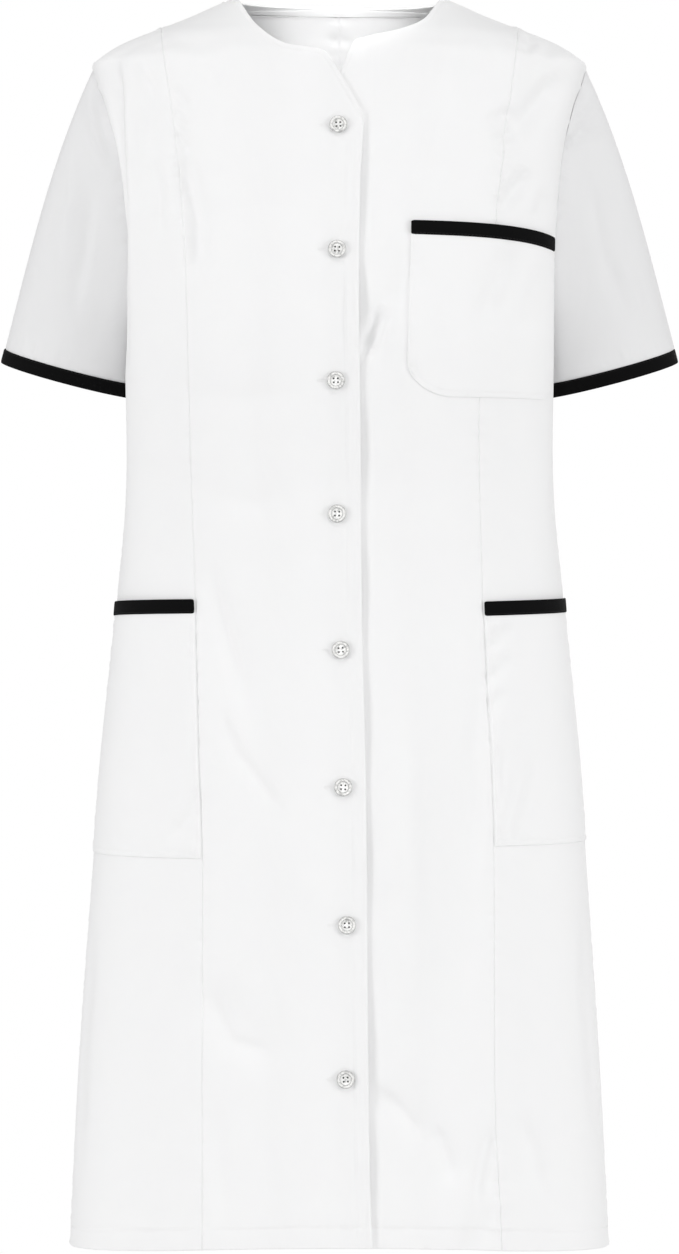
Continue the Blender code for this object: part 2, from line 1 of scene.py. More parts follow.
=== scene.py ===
"""Looks of the nurse uniform dress: fine cloth, bindings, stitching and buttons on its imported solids.

Metres, +Z up, the front towards -Y, +X towards the wearer's left, as in the frame. Every piece of
the body is a patch of one surface read from horizontal sections, the same one that the solids are
made of. A place on it is (around, height): around is an angle, 0 at the centre front, a quarter
turn at the wearer's left side and half a turn at the centre back.
"""

from collections import namedtuple
from math import pi

import bmesh
import bpy
import numpy as np
from mathutils import Matrix, Vector


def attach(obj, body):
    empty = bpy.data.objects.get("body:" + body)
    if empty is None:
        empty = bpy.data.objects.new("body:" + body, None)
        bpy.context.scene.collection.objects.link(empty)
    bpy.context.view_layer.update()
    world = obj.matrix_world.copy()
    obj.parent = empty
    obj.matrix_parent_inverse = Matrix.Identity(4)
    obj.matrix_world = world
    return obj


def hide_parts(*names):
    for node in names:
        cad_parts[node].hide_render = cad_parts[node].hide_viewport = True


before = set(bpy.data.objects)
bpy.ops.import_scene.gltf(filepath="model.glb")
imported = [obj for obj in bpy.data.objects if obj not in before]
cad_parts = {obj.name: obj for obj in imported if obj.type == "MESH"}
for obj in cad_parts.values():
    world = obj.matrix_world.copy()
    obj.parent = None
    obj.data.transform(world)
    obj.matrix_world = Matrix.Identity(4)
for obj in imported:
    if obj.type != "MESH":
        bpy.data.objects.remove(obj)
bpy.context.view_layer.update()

# ---- driving sizes of the solids ----
WALL = 0.0015  # the solids' cloth, whose outer face the fine cloth follows
LAP = 0.038  # how far one front laps over the other
LAP_TOP_X = 0.0202  # the lapping edge at the top of the neckline
POCKET_LIFT = 0.0011  # a pocket's cloth off the cloth under it
POCKET_GAPE = 0.0018  # how far a side pocket's mouth stands off
BINDING_WIDTH = 0.012
BINDING_HALF_THICKNESS = 0.00105
FACING_DEPTH = 0.007
HEM_FRONT = -1.010
HEM_SIDE = -1.027
NECK_HALF_WIDTH = 0.087
BACK_NECK_CENTRE = 0.031
PRINCESS_AT_SHOULDER = 0.150
BACK_LINE_AT_HEM = 0.132
SIDE_SEAM_Y = -0.018
PRESS_MIDDLE_Y = 0.010
PRESS_REACH = 0.072
ARMHOLE_TOP = -0.030
ARMHOLE_BOTTOM = -0.262
ARMHOLE_HALF_DEPTH = 0.048
ARMHOLE_MIDDLE_Y = 0.004
ARMHOLE_DROOP = 0.22
CUFF_CENTRE = (0.2300, 0.012, -0.2945)
CUFF_HALF_WIDTH = 0.0605
CUFF_HALF_DEPTH = 0.0550
CUFF_RISE = 0.12
SLEEVE_LEAN = 0.265
BUTTON_RADIUS = 0.0075
BUTTON_HEIGHT = 0.0028
BUTTON_HOLE_RADIUS = 0.0009
BUTTON_HOLE_SPACING = 0.0034
ROW_GRADING = 1.5
ARMHOLE_SHARE = 10 / 26  # share of the rows that end at the armhole
ARMHOLE_GRADING = 1.2

Section = namedtuple("Section", "height half_width front back square inset")
SECTIONS = (
    Section(0.0340, 0.064, 0.050, 0.064, 2.2, 0.000),
    Section(0.0264, 0.087, 0.056, 0.070, 2.2, 0.000),
    Section(0.0200, 0.104, 0.060, 0.074, 2.2, 0.000),
    Section(0.0094, 0.128, 0.067, 0.081, 2.2, 0.000),
    Section(0.0008, 0.150, 0.073, 0.086, 2.2, 0.000),
    Section(-0.0085, 0.174, 0.079, 0.091, 2.3, 0.000),
    Section(-0.0160, 0.190, 0.083, 0.095, 2.3, 0.000),
    Section(-0.0235, 0.201, 0.087, 0.098, 2.4, 0.000),
    Section(-0.0300, 0.207, 0.089, 0.101, 2.5, 0.000),
    Section(-0.0655, 0.199, 0.100, 0.111, 2.7, 0.002),
    Section(-0.1000, 0.192, 0.108, 0.117, 2.9, 0.005),
    Section(-0.1450, 0.187, 0.118, 0.120, 3.0, 0.010),
    Section(-0.2000, 0.184, 0.127, 0.118, 3.0, 0.015),
    Section(-0.2620, 0.1835, 0.130, 0.114, 3.0, 0.020),
    Section(-0.3100, 0.184, 0.127, 0.110, 2.9, 0.021),
    Section(-0.3500, 0.184, 0.123, 0.107, 2.8, 0.016),
    Section(-0.4000, 0.1845, 0.119, 0.106, 2.7, 0.008),
    Section(-0.4500, 0.186, 0.119, 0.110, 2.6, 0.002),
    Section(-0.4800, 0.1875, 0.120, 0.114, 2.6, 0.000),
    Section(-0.5000, 0.189, 0.121, 0.118, 2.6, 0.000),
    Section(-0.5600, 0.195, 0.126, 0.126, 2.6, 0.000),
    Section(-0.6200, 0.201, 0.131, 0.132, 2.5, 0.000),
    Section(-0.7300, 0.209, 0.138, 0.139, 2.5, 0.000),
    Section(-0.8900, 0.220, 0.146, 0.147, 2.4, 0.000),
    Section(-1.0300, 0.227, 0.152, 0.152, 2.4, 0.000),
)

FrontLine = namedtuple("FrontLine", "height right_seam lap_edge left_seam")
FRONT_LINES = (
    FrontLine(0.0008, -PRINCESS_AT_SHOULDER, LAP_TOP_X, PRINCESS_AT_SHOULDER),
    FrontLine(-0.0360, -0.1450, LAP_TOP_X, 0.1450),
    FrontLine(-0.0830, -0.1380, LAP_TOP_X, 0.1385),
    FrontLine(-0.1400, -0.1320, 0.0173, 0.1315),
    FrontLine(-0.2370, -0.1250, 0.0160, 0.1210),
    FrontLine(-0.3280, -0.1230, 0.0172, 0.1140),
    FrontLine(-0.4900, -0.1180, 0.0184, 0.1178),
    FrontLine(-0.6130, -0.1145, 0.0213, 0.1240),
    FrontLine(-0.7170, -0.1115, 0.0224, 0.1262),
    FrontLine(-0.8730, -0.1118, 0.0236, 0.1262),
    FrontLine(-0.9600, -0.1116, 0.0250, 0.1295),
    FrontLine(-1.0300, -0.1116, 0.0278, 0.1330),
)

NeckPoint = namedtuple("NeckPoint", "out right left")
NECKLINE = (
    NeckPoint(-LAP_TOP_X, -0.083, -0.087),
    NeckPoint(0.000, -0.047, -0.047),
    NeckPoint(0.014, -0.027, -0.017),
    NeckPoint(0.022, -0.025, -0.015),
    NeckPoint(0.043, -0.022, -0.011),
    NeckPoint(0.068, -0.005, -0.001),
    NeckPoint(NECK_HALF_WIDTH, 0.0264, 0.0264),
)

Fold = namedtuple("Fold", "face x_top z_top x_low z_low half_width rise")
FOLDS = (
    Fold("front", -0.098, -0.480, -0.045, -0.665, 0.018, -0.0035),
    Fold("front", -0.070, -0.560, -0.020, -0.760, 0.024, 0.0030),
    Fold("front", 0.050, -0.590, 0.052, -0.820, 0.020, 0.0035),
    Fold("front", 0.088, -0.480, 0.098, -0.860, 0.022, -0.0035),
    Fold("front", -0.105, -0.800, -0.055, -0.860, 0.018, -0.0030),
    Fold("front", 0.052, -0.880, 0.095, -0.960, 0.016, -0.0030),
    Fold("back", -0.075, -0.430, -0.095, -0.800, 0.024, -0.0040),
    Fold("back", 0.060, -0.520, 0.085, -0.930, 0.026, -0.0040),
    Fold("back", -0.010, -0.560, 0.004, -1.000, 0.030, 0.0040),
    Fold("back", 0.045, -0.300, 0.110, -0.420, 0.020, -0.0030),
)

SidePocket = namedtuple("SidePocket", "name side mouth_inner mouth_outer foot")
SIDE_POCKETS = (
    SidePocket("right", -1, -0.4820, -0.4835, -0.6950),
    SidePocket("left", 1, -0.4840, -0.4805, -0.6850),
)
CHEST_MOUTH_INNER = -0.1720
CHEST_MOUTH_OUTER = -0.1800
CHEST_FOOT = -0.3165
CHEST_INNER_X = 0.0585
CHEST_INNER_LEAN = 0.03
CHEST_OUTER_Y = -0.062
CHEST_WIDTH = 0.150
CHEST_MOUTH_BOW = 0.0012
CHEST_GAPE = 0.0004
CHEST_INNER_RADIUS = 0.030
CHEST_OUTER_RADIUS = 0.022

Button = namedtuple("Button", "x z")
BUTTONS = (
    Button(-0.001, -0.092),
    Button(-0.002, -0.196),
    Button(-0.003, -0.303),
    Button(-0.002, -0.412),
    Button(0.001, -0.524),
    Button(0.003, -0.636),
    Button(0.006, -0.748),
    Button(0.005, -0.873),
)

# ---- sizes of the fine cloth ----
THIN = 0.0008  # cloth between its two faces
STEP = 0.0027  # grid of the fine cloth
BACK_STEP = 0.0037
UNDER_DEPTH = 0.0018  # how far the under front lies back behind the lapping one
UNDER_RETURN = (0.0015, 0.0110)  # from the lapping edge, where it comes back to the surface
HEM_DEPTH = 0.017  # turned up inside and stitched
EDGE_STITCH = 0.0040  # from a faced edge to its stitching
FACING_STITCH = 0.010  # from the lapping front's neck edge to the stitching that holds its facing
STITCH_PULL = 0.00035
STITCH_LENGTH = 0.0024
STITCH_PITCH = 0.0031
FIRST_STITCH = 0.0004
THREAD_RADIUS = 0.00019

# ---- creases, in millimetres ----
# A path runs down, as (across, height) seen from its side. A rise below 0 is a trough.
# sharp below 1 makes the side towards +across (or +Y) steeper.
Crease = namedtuple("Crease", "path half_width rise sharp")
FRONT_CREASES = (
    # a ridge beside the fold at the right shoulder, and the drag lines below it
    Crease(((-177, -12), (-176, -60), (-173, -160), (-171, -290)), 7, 3.6, 1.2),
    Crease(((-170, -30), (-160, -52), (-150, -74)), 7, -2.4, 0.6),
    Crease(((-154, -110), (-150, -148), (-147, -192)), 6, -3, 0.8),
    Crease(((-161, -60), (-159, -120), (-163, -180)), 8, -2, 1),
    Crease(((-134, -100), (-126, -135), (-118, -172), (-117, -230)), 8.5, -6, 0.9),
    Crease(((-141, -54), (-131, -64), (-121, -80)), 5, -2, 0.6),
    Crease(((-139, -74), (-131, -84), (-124, -98)), 4, -2.4, 0.6),
    Crease(((-137, -93), (-130, -102), (-123, -114)), 3.8, -2.6, 0.6),
    Crease(((-146, -12), (-120, -22), (-92, -20)), 7, -1.4, 0.8),
    Crease(((-126, -34), (-104, -48), (-86, -72)), 9, -1.8, 0.8),
    # across the chest and the waist
    Crease(((-150, -160), (-81, -163), (-4, -157)), 16, -1.6, 0.6),
    Crease(((-146, -312), (-81, -318), (-8, -312)), 15, -1.3, 0.6),
    Crease(((-112, -398), (-70, -404), (-20, -396)), 12, -1.2, 0.6),
    # long drag lines on the skirt of the lapping front
    Crease(((-107, -440), (-93, -504), (-80, -548), (-74, -588)), 8, -2.6, 0.7),
    Crease(((-104, -562), (-82, -608), (-57, -642), (-36, -672)), 8, -3, 0.6),
    Crease(((-60, -470), (-48, -520), (-40, -580)), 12, -1.2, 1),
    Crease(((-108, -796), (-88, -842), (-46, -856)), 12, -2.7, 0.4),
    Crease(((-104, -880), (-96, -950), (-92, -1010)), 9, -1.8, 1),
    # the pinch beside the placket, and drag lines under the left princess seam
    Crease(((36, -240), (27, -264), (16, -288)), 5, -5.6, 1.5),
    Crease(((46, -228), (37, -256), (31, -282)), 6.5, 2.6, 1),
    Crease(((70, -196), (50, -230), (34, -258)), 8, -2.4, 1.7),
    Crease(((64, -100), (44, -116), (24, -140)), 9, -1.8, 1.7),
    Crease(((88, -56), (64, -70), (40, -82)), 9, -1.6, 1.7),
    Crease(((190, -36), (162, -72), (134, -106)), 8.6, -8.8, 1.3),
    Crease(((146, -74), (132, -83), (120, -88)), 4, -3.6, 1.4),
    Crease(((146, -92), (134, -101), (123, -105)), 3.8, -3, 1.4),
    Crease(((158, -122), (143, -145), (128, -166)), 6.2, -6.2, 1.3),
    Crease(((153, -8), (160, -18), (154, -30)), 4.2, -2.6, 1),
    Crease(((136, -18), (118, -32), (94, -42)), 8, -2, 1.3),
    Crease(((178, -14), (170, -30), (156, -50)), 6, -2.6, 1.4),
    Crease(((170, -140), (166, -156), (158, -172)), 5, -2, 1.7),
    Crease(((142, -184), (132, -219), (115, -262)), 8, -5.2, 1.4),
    Crease(((166, -200), (158, -236), (148, -270)), 7.5, -1.8, 1.7),
    # puckers and drag lines at the left hip pocket
    Crease(((140, -498), (127, -516), (116, -532)), 4, -2.6, 1.7),
    Crease(((140, -524), (128, -541), (117, -556)), 4, -2.4, 1.7),
    Crease(((136, -552), (128, -566), (119, -580)), 4, -1.8, 1.7),
    Crease(((134, -596), (131, -628), (133, -660)), 4.6, -2.4, 0.8),
    Crease(((157, -604), (145, -655), (133, -700)), 7.2, -3.6, 0.7),
    # a drag line at the foot of the right hip pocket
    Crease(((-110, -634), (-122, -656), (-142, -684)), 5.5, -3, 1.7),
    # long soft folds and short drag lines on the skirt of the under front
    Crease(((61, -590), (59, -671), (63, -760)), 15, 1.6, 1),
    Crease(((117, -520), (111, -622), (104, -725)), 10, -3.2, 1),
    Crease(((50, -690), (44, -780), (52, -860)), 12, -1.6, 1),
    Crease(((24, -876), (46, -894), (64, -914), (70, -930)), 11.5, -3.4, 0.45),
    Crease(((72, -908), (84, -922), (91, -940), (92, -966)), 9.5, -3.2, 0.5),
    Crease(((129, -906), (121, -936), (115, -964), (113, -990)), 6, -3.2, 0.8),
    Crease(((144, -900), (160, -936), (167, -980)), 9, -2.6, 0.6),
    Crease(((126, -972), (116, -990), (104, -1012), (100, -1030)), 7.5, -3, 1.5),
    Crease(((134, -968), (128, -984), (125, -1004)), 5, 2, 1),
)
BACK_CREASES = (
    # drag lines between the shoulders, across the waist and down the skirt
    Crease(((-160, -50), (-128, -110), (-105, -170)), 10, -2.2, 1),
    Crease(((158, -58), (120, -128), (100, -200)), 11, -2.4, 1),
    Crease(((-70, -20), (-30, -34), (20, -28)), 8, -1.2, 1),
    Crease(((-150, -372), (-70, -392), (-14, -380)), 13, -2.6, 0.8),
    Crease(((10, -402), (74, -420), (148, -396)), 12, -2.3, 0.8),
    Crease(((-120, -428), (-60, -440), (-10, -432)), 9, 1.6, 1),
    Crease(((-132, -500), (-118, -640), (-124, -780)), 13, -2.6, 1),
    Crease(((-60, -560), (-48, -700), (-56, -860)), 15, 2.2, 1),
    Crease(((52, -520), (42, -680), (50, -820)), 14, -2.2, 1),
    Crease(((136, -540), (126, -700), (138, -880)), 15, -2.8, 1),
    Crease(((-92, -850), (-70, -920), (-30, -960)), 9, -1.8, 0.8),
    Crease(((100, -900), (78, -960), (70, -1020)), 9, -2, 1),
)
LEFT_CREASES = (
    # short drag lines under the arm, then long folds down the seam
    Crease(((-50, -290), (-20, -330), (20, -356)), 8, -1.8, 0.8),
    Crease(((50, -300), (44, -380), (50, -460)), 12, -2.2, 1),
    Crease(((20, -560), (34, -700), (30, -860)), 14, -2.6, 1),
    Crease(((-50, -720), (-60, -820), (-54, -960)), 12, -1.8, 1),
)
RIGHT_CREASES = (
    # the fold from the shoulder to the underarm, then drag lines and folds down the seam
    Crease(((-47, -8), (-51, -50), (-61, -150), (-62, -300)), 5, -20, 2.2),
    Crease(((-44, -296), (-14, -326), (26, -346)), 8, -1.6, 0.8),
    Crease(((46, -320), (52, -400), (44, -480)), 12, -2.2, 1),
    Crease(((36, -520), (28, -680), (36, -820)), 14, -2.4, 1),
    Crease(((-52, -740), (-44, -860), (-56, -980)), 12, -2, 1),
)
CREASES = {
    "right": RIGHT_CREASES,
    "front": FRONT_CREASES,
    "back": BACK_CREASES,
    "left": LEFT_CREASES,
}
# those of the two sleeves are told apart by the sign of their x
SLEEVE_CREASES = {
    "front": (
        Crease(((-213, -46), (-206, -86), (-196, -122)), 4.6, 4.2, 1),
        Crease(((-222, -70), (-226, -140), (-236, -210)), 7, 1.6, 1),
        Crease(((-206, -130), (-214, -190), (-226, -250)), 7, -1.8, 0.8),
        Crease(((178, -106), (200, -93), (230, -76)), 4.8, 3.6, 1),
        Crease(((228, -56), (206, -74), (180, -90)), 5.6, -3.2, 1),
        Crease(((208, -120), (222, -190), (242, -250)), 7.5, -1.6, 0.8),
        Crease(((236, -190), (248, -220), (258, -256)), 6, 1.8, 1),
    ),
    "back": (
        Crease(((-196, -80), (-206, -160), (-220, -240)), 9, -2.2, 1),
        Crease(((200, -90), (206, -170), (224, -250)), 9, -2.4, 1),
        Crease(((196, -130), (214, -150), (232, -190)), 7, 1.6, 1),
    ),
}


# ---- reading the tables, for whole arrays of places ----
def mix(a, b, t):
    return a + (b - a) * t


def unit(vectors):
    return vectors / np.linalg.norm(vectors, axis=-1, keepdims=True)


def travelled(points):
    """Distance of each point along a line of points, from its start."""
    return np.concatenate(([0.0], np.linalg.norm(np.diff(points, axis=0), axis=1).cumsum()))


def bell(distance, width):
    """1 at a line and fading away on both sides of it."""
    return np.exp(-((distance / width) ** 2))


def fade(start, end, value):
    """0 before start, 1 after end, and soft between."""
    t = np.clip((value - start) / (end - start), 0.0, 1.0)
    return t * t * (3 - 2 * t)


def smooth_reading(places, values, at):
    """Values at places on a smooth line through rising places that never overshoots the rows."""
    places = np.asarray(places, float)
    values = np.asarray(values, float)
    at = np.clip(at, places[0], places[-1])
    steps = np.diff(places)
    slopes = np.diff(values) / steps
    product = slopes[:-1] * slopes[1:]
    total = np.where(product > 0, slopes[:-1] + slopes[1:], 1.0)
    inner = np.where(product > 0, 2 * product / total, 0.0)
    tangents = np.concatenate((slopes[:1], inner, slopes[-1:]))
    i = np.clip(np.searchsorted(places, at, "right") - 1, 0, len(steps) - 1)
    t = (at - places[i]) / steps[i]
    rise = values[i + 1] - values[i]
    leave = tangents[i] * steps[i]
    arrive = tangents[i + 1] * steps[i]
    bend = 3 * rise - 2 * leave - arrive
    return values[i] + leave * t + bend * t**2 + (leave + arrive - 2 * rise) * t**3


def by_height(table, column, height):
    rows = table[::-1]
    return smooth_reading([r.height for r in rows], [getattr(r, column) for r in rows], height)


def front_line(column, height):
    return by_height(FRONT_LINES, column, height)


SHOULDER_HEIGHTS = np.linspace(SECTIONS[0].height, ARMHOLE_TOP, 4000)
SHOULDER_WIDTHS = by_height(SECTIONS, "half_width", SHOULDER_HEIGHTS)


def shoulder_height(x):
    """Height of the shoulder seam: where the sections are only as wide as x."""
    return np.interp(np.abs(x), SHOULDER_WIDTHS, SHOULDER_HEIGHTS)


def neck_or_shoulder(side):
    """Rule for the height of a front's top edge at x, on one side."""
    places = [p.out for p in NECKLINE]
    heights = [p.left if side > 0 else p.right for p in NECKLINE]

    def top(x):
        neck = smooth_reading(places, heights, side * x)
        return np.where(side * x > NECK_HALF_WIDTH, shoulder_height(x), neck)

    return top


def back_top(x):
    """Height of the back's top edge at x."""
    neck = mix(BACK_NECK_CENTRE, shoulder_height(NECK_HALF_WIDTH), (x / NECK_HALF_WIDTH) ** 2)
    return np.where(np.abs(x) >= NECK_HALF_WIDTH, shoulder_height(x), neck)


def hem_height(around):
    """Height of the hem: higher at the centre front, level from the sides back."""
    front = mix(HEM_FRONT, HEM_SIDE, np.sin(around) ** 2)
    return np.where(np.cos(around) < 0, HEM_SIDE, front)


# ---- the surface of the body ----
def press(y):
    """Share of the side's inset at a depth, and its slope."""
    t = np.clip((y - PRESS_MIDDLE_Y) / PRESS_REACH, -1, 1)
    return (1 - t * t) ** 2, -4 * t * (1 - t * t) / PRESS_REACH


def folds_at(face, x, z):
    """How far the large folds move the cloth out, at places on the front or the back."""
    total = np.zeros(np.shape(x))
    for fold in FOLDS:
        if fold.face != face:
            continue
        run_x = fold.x_low - fold.x_top
        run_z = fold.z_low - fold.z_top
        length_squared = run_x**2 + run_z**2
        t = ((x - fold.x_top) * run_x + (z - fold.z_top) * run_z) / length_squared
        off_squared = (x - fold.x_top - run_x * t) ** 2 + (z - fold.z_top - run_z * t) ** 2
        ends = fade(-0.15, 0.25, t) * (1 - fade(0.75, 1.15, t))
        total += fold.rise * ends * np.exp(-off_squared / fold.half_width**2)
    return total


def body(around, height):
    """The solids' inner face at places, and the way out."""
    around, height = np.broadcast_arrays(around, height)
    step = 0.001
    names = Section._fields[1:]
    here, above, below = (
        {name: by_height(SECTIONS, name, height + up) for name in names} for up in (0, step, -step)
    )
    front = np.cos(around) >= 0
    side = np.where(np.sin(around) >= 0, 1.0, -1.0)
    ahead = np.where(front, -1.0, 1.0)
    depth = np.where(front, here["front"], here["back"])
    deeper = np.where(front, above["front"] - below["front"], above["back"] - below["back"])
    depth_growth = deeper / (2 * step)
    width_growth = (above["half_width"] - below["half_width"]) / (2 * step)
    inset_growth = (above["inset"] - below["inset"]) / (2 * step)
    square = here["square"]
    wide = np.abs(np.sin(around)) ** (2 / square)
    deep = np.abs(np.cos(around)) ** (2 / square)
    y = ahead * depth * deep
    pressed, press_slope = press(y)
    x = side * (here["half_width"] * wide - here["inset"] * pressed)
    x_part = wide ** (square - 1) / here["half_width"]
    y_part = deep ** (square - 1) / depth
    out = np.stack(
        (
            side * x_part,
            ahead * y_part + x_part * here["inset"] * press_slope,
            x_part * (inset_growth * pressed - wide * width_growth) - y_part * deep * depth_growth,
        ),
        -1,
    )
    out = unit(out)
    folds = np.where(front, folds_at("front", x, height), folds_at("back", x, height))
    return np.stack((x, y, height), -1) + out * folds[..., None], out


def around_at_x(x, height):
    """Places on the front where the cloth crosses x."""
    share = np.clip(np.abs(x) / by_height(SECTIONS, "half_width", height), 0, 1)
    return np.arcsin(share ** (by_height(SECTIONS, "square", height) / 2)) * np.where(x >= 0, 1, -1)


def around_at_y(y, height, side):
    """Places on one side where the cloth crosses y, past half a turn at the back of the right."""
    depth = np.where(y < 0, by_height(SECTIONS, "front", height), by_height(SECTIONS, "back", height))
    turn = np.arccos(np.clip(np.abs(y) / depth, 0, 1) ** (by_height(SECTIONS, "square", height) / 2))
    return side * np.where(y < 0, turn, pi - turn)


# ---- places of each panel, for rows from 0 at the top to 1 at the hem ----
def hanging(across, top, rows, face="front"):
    """Places down from a top edge to the hem. across(height) is their x."""
    start = np.zeros(np.shape(across(0.0)))
    for _ in range(30):
        start = top(across(start))
    end = HEM_SIDE
    if face == "front":
        end = hem_height(around_at_x(across(HEM_SIDE), HEM_SIDE))
    height = mix(start, end, rows**ROW_GRADING)
    around = around_at_x(across(height), height)
    return (around if face == "front" else pi - around), height


def armhole(turn_share, face, side):
    """Places on the armhole's edge, from the shoulder (0) to the underarm (1)."""
    swing = pi * turn_share**ARMHOLE_GRADING
    toward = -1 if face == "front" else 1
    middle = (ARMHOLE_TOP + ARMHOLE_BOTTOM) / 2
    height = middle + (ARMHOLE_TOP - middle) * np.cos(swing)
    reach = ARMHOLE_HALF_DEPTH * np.sin(swing) * (1 - ARMHOLE_DROOP * np.cos(swing))
    y = SIDE_SEAM_Y * turn_share**6 + ARMHOLE_MIDDLE_Y * np.sin(swing) + toward * reach
    around = around_at_y(y, height, side)
    return (around if face == "front" else around % (2 * pi)), height


def side_edge(rows, face, side):
    """Places down the armhole's edge and then the side seam."""
    around, height = armhole(np.clip(rows / ARMHOLE_SHARE, 0, 1), face, side)
    below = np.clip((rows - ARMHOLE_SHARE) / (1 - ARMHOLE_SHARE), 0, 1)
    seam_height = mix(ARMHOLE_BOTTOM, HEM_SIDE, below**1.1)
    seam_around = around_at_y(SIDE_SEAM_Y, seam_height, side)
    if face == "back":
        seam_around = seam_around % (2 * pi)
    on_armhole = rows <= ARMHOLE_SHARE
    return np.where(on_armhole, around, seam_around), np.where(on_armhole, height, seam_height)


def front_places(name, side, past_lap_edge):
    """A front's shares run from its free edge to its princess seam."""

    def places(rows, shares):
        def across(height):
            edge = front_line("lap_edge", height) - past_lap_edge
            return mix(edge, front_line(name + "_seam", height), shares)

        return hanging(across, neck_or_shoulder(side), rows)

    return places


def side_front_places(name, side):
    def places(rows, shares):
        def across(height):
            return front_line(name + "_seam", height)

        seam = hanging(across, shoulder_height, rows)
        edge = side_edge(rows, "front", side)
        return mix(seam[0], edge[0], shares), mix(seam[1], edge[1], shares)

    return places


def back_places(side):
    """Half of the back. Shares 0 to 0.5 lie beside the armhole, and the rest hangs from the top."""

    def places(rows, shares):
        station = np.clip((1 - shares) / 0.5, 0, 1) * PRINCESS_AT_SHOULDER * side

        def across(height):
            narrowing = mix(1.0, BACK_LINE_AT_HEM / PRINCESS_AT_SHOULDER, fade(0.0, 0.3, -height))
            return station * narrowing

        hung = hanging(across, back_top, rows, "back")
        edge = side_edge(rows, "back", side)
        beside = np.clip(1 - shares / 0.5, 0, 1)
        return mix(hung[0] % (2 * pi), edge[0], beside), mix(hung[1], edge[1], beside)

    return places


# ---- relief: creases, slight unevenness and puckers ----
waves = np.random.default_rng(7)
WAVES = [
    (waves.uniform(-1, 1) * 26, waves.uniform(-1, 1) * 26, waves.uniform(-1, 1) * 9, waves.uniform(0, 6.28))
    for _ in range(14)
]
PUCKER_LENGTHS = (0.0068, 0.0109, 0.0163, 0.0277)
UNEVEN = 0.00022


def unevenness(points):
    """Broad, shallow undulation of hung cloth, longer down than across."""
    x, y, z = np.moveaxis(points, -1, 0)
    return UNEVEN * sum(np.sin(a * x + b * y + c * z + d) for a, b, c, d in WAVES)


def facing(side, outs):
    """How much of the cloth faces one way, softly."""
    axis, sign = {"front": (1, -1), "back": (1, 1), "right": (0, -1), "left": (0, 1)}[side]
    return fade(0.10, 0.55, sign * outs[..., axis])


def crease_at(crease, across, height):
    """How far one crease moves the cloth out, at places seen from its side."""
    path = np.array(crease.path) / 1000
    runs = np.diff(path, axis=0)
    lengths = np.linalg.norm(runs, axis=1)
    before = travelled(path)
    nearest = np.full(across.shape, 1e9)
    offset = np.zeros(across.shape)
    along = np.zeros(across.shape)
    for start, run, length, passed in zip(path, runs, lengths, before):
        way = run / length
        right = across - start[0]
        up = height - start[1]
        t = np.clip(right * way[0] + up * way[1], 0, length)
        off = np.hypot(right - way[0] * t, up - way[1] * t)
        closer = off < nearest
        side = np.sign(right * -way[1] + up * way[0])
        nearest = np.where(closer, off, nearest)
        offset = np.where(closer, off * side, offset)
        along = np.where(closer, (passed + t) / before[-1], along)
    width = crease.half_width / 1000 * np.where(offset > 0, crease.sharp, 1.0)
    ends = fade(0.0, 0.3, along) * (1 - fade(0.65, 1.0, along))
    return crease.rise / 1000 * ends * bell(offset, width)


def relief(points, outs, creases=None):
    """How far the creases and the unevenness move the cloth out."""
    total = unevenness(points)
    height = points[..., 2]
    for side, rows in (creases or CREASES).items():
        across = points[..., 1 if side in ("left", "right") else 0]
        weight = facing(side, outs)
        for crease in rows:
            path = np.array(crease.path) / 1000
            reach = crease.half_width * 3 / 1000
            low = path.min(0) - reach
            high = path.max(0) + reach
            near = (across > low[0]) & (across < high[0]) & (weight > 0)
            near &= (height > low[1]) & (height < high[1])
            if near.any():
                total[near] += weight[near] * crease_at(crease, across[near], height[near])
    return total


def pucker(distance, along, strength, reach=0.006):
    """Small gathers beside a seam, by the distance from it and along it."""
    rough = sum(np.sin(2 * pi * along / length + 40 * length / 0.011) for length in PUCKER_LENGTHS)
    slow = 0.55 + 0.45 * np.sin(along * 31.0 + 1.3)
    return strength * slow * rough * bell(distance, reach)


AT_ONCE = 4000  # points measured together, to spare memory


def from_line(points, line):
    """Distance of points from a line of points, and how far along it their nearest place is."""
    fine = []
    for a, b in zip(line, line[1:]):
        fine.extend(a + (b - a) * t for t in (0.0, 0.25, 0.5, 0.75))
    fine = np.array(fine + [line[-1]])
    passed = travelled(fine)
    flat = points.reshape(-1, 3)
    distance = np.empty(len(flat))
    along = np.empty(len(flat))
    for start in range(0, len(flat), AT_ONCE):
        part_of = slice(start, start + AT_ONCE)
        part = flat[part_of]
        squared = ((part[:, None, :] - fine[None, :, :]) ** 2).sum(-1)
        nearest = squared.argmin(1)
        distance[part_of] = np.sqrt(squared[np.arange(len(part)), nearest])
        along[part_of] = passed[nearest]
    return distance.reshape(points.shape[:-1]), along.reshape(points.shape[:-1])


# ---- fine cloth: grids of points with two faces ----
# distances from an edge of the first grid lines beside it
PLAIN_EDGE = (0.0, 0.0004, 0.0009, 0.0016, 0.0026)
STITCHED_EDGE = (0.0, 0.0004, 0.0009, 0.0017, 0.0026, 0.0033, 0.0040, 0.0047, 0.0056, 0.0075)
HEM_EDGE = (0.0, 0.0004, 0.0010, 0.0025, 0.0060, 0.0100, 0.0140, 0.0160, 0.0170, 0.0180, 0.0200)
GROOVE = 0.0005
GROOVE_WIDTH = 0.0018
SEAM_GATHER = 0.00025
HEM_GATHER = 0.00012
HEM_DENT = 0.0004  # along the hem's stitching
HEM_THINS = (-0.0004, 0.0012)  # past the turned-up edge of the hem
EDGE_THINS = (0.0076, 0.0112)  # from a free edge, past the end of its doubled cloth
YOKE = (-0.24, -0.06)  # seams pucker more and more between these heights
YOKE_GATHER = 1.8
FLAT_AT_SLEEVE = 0.003  # from a sleeve's seam
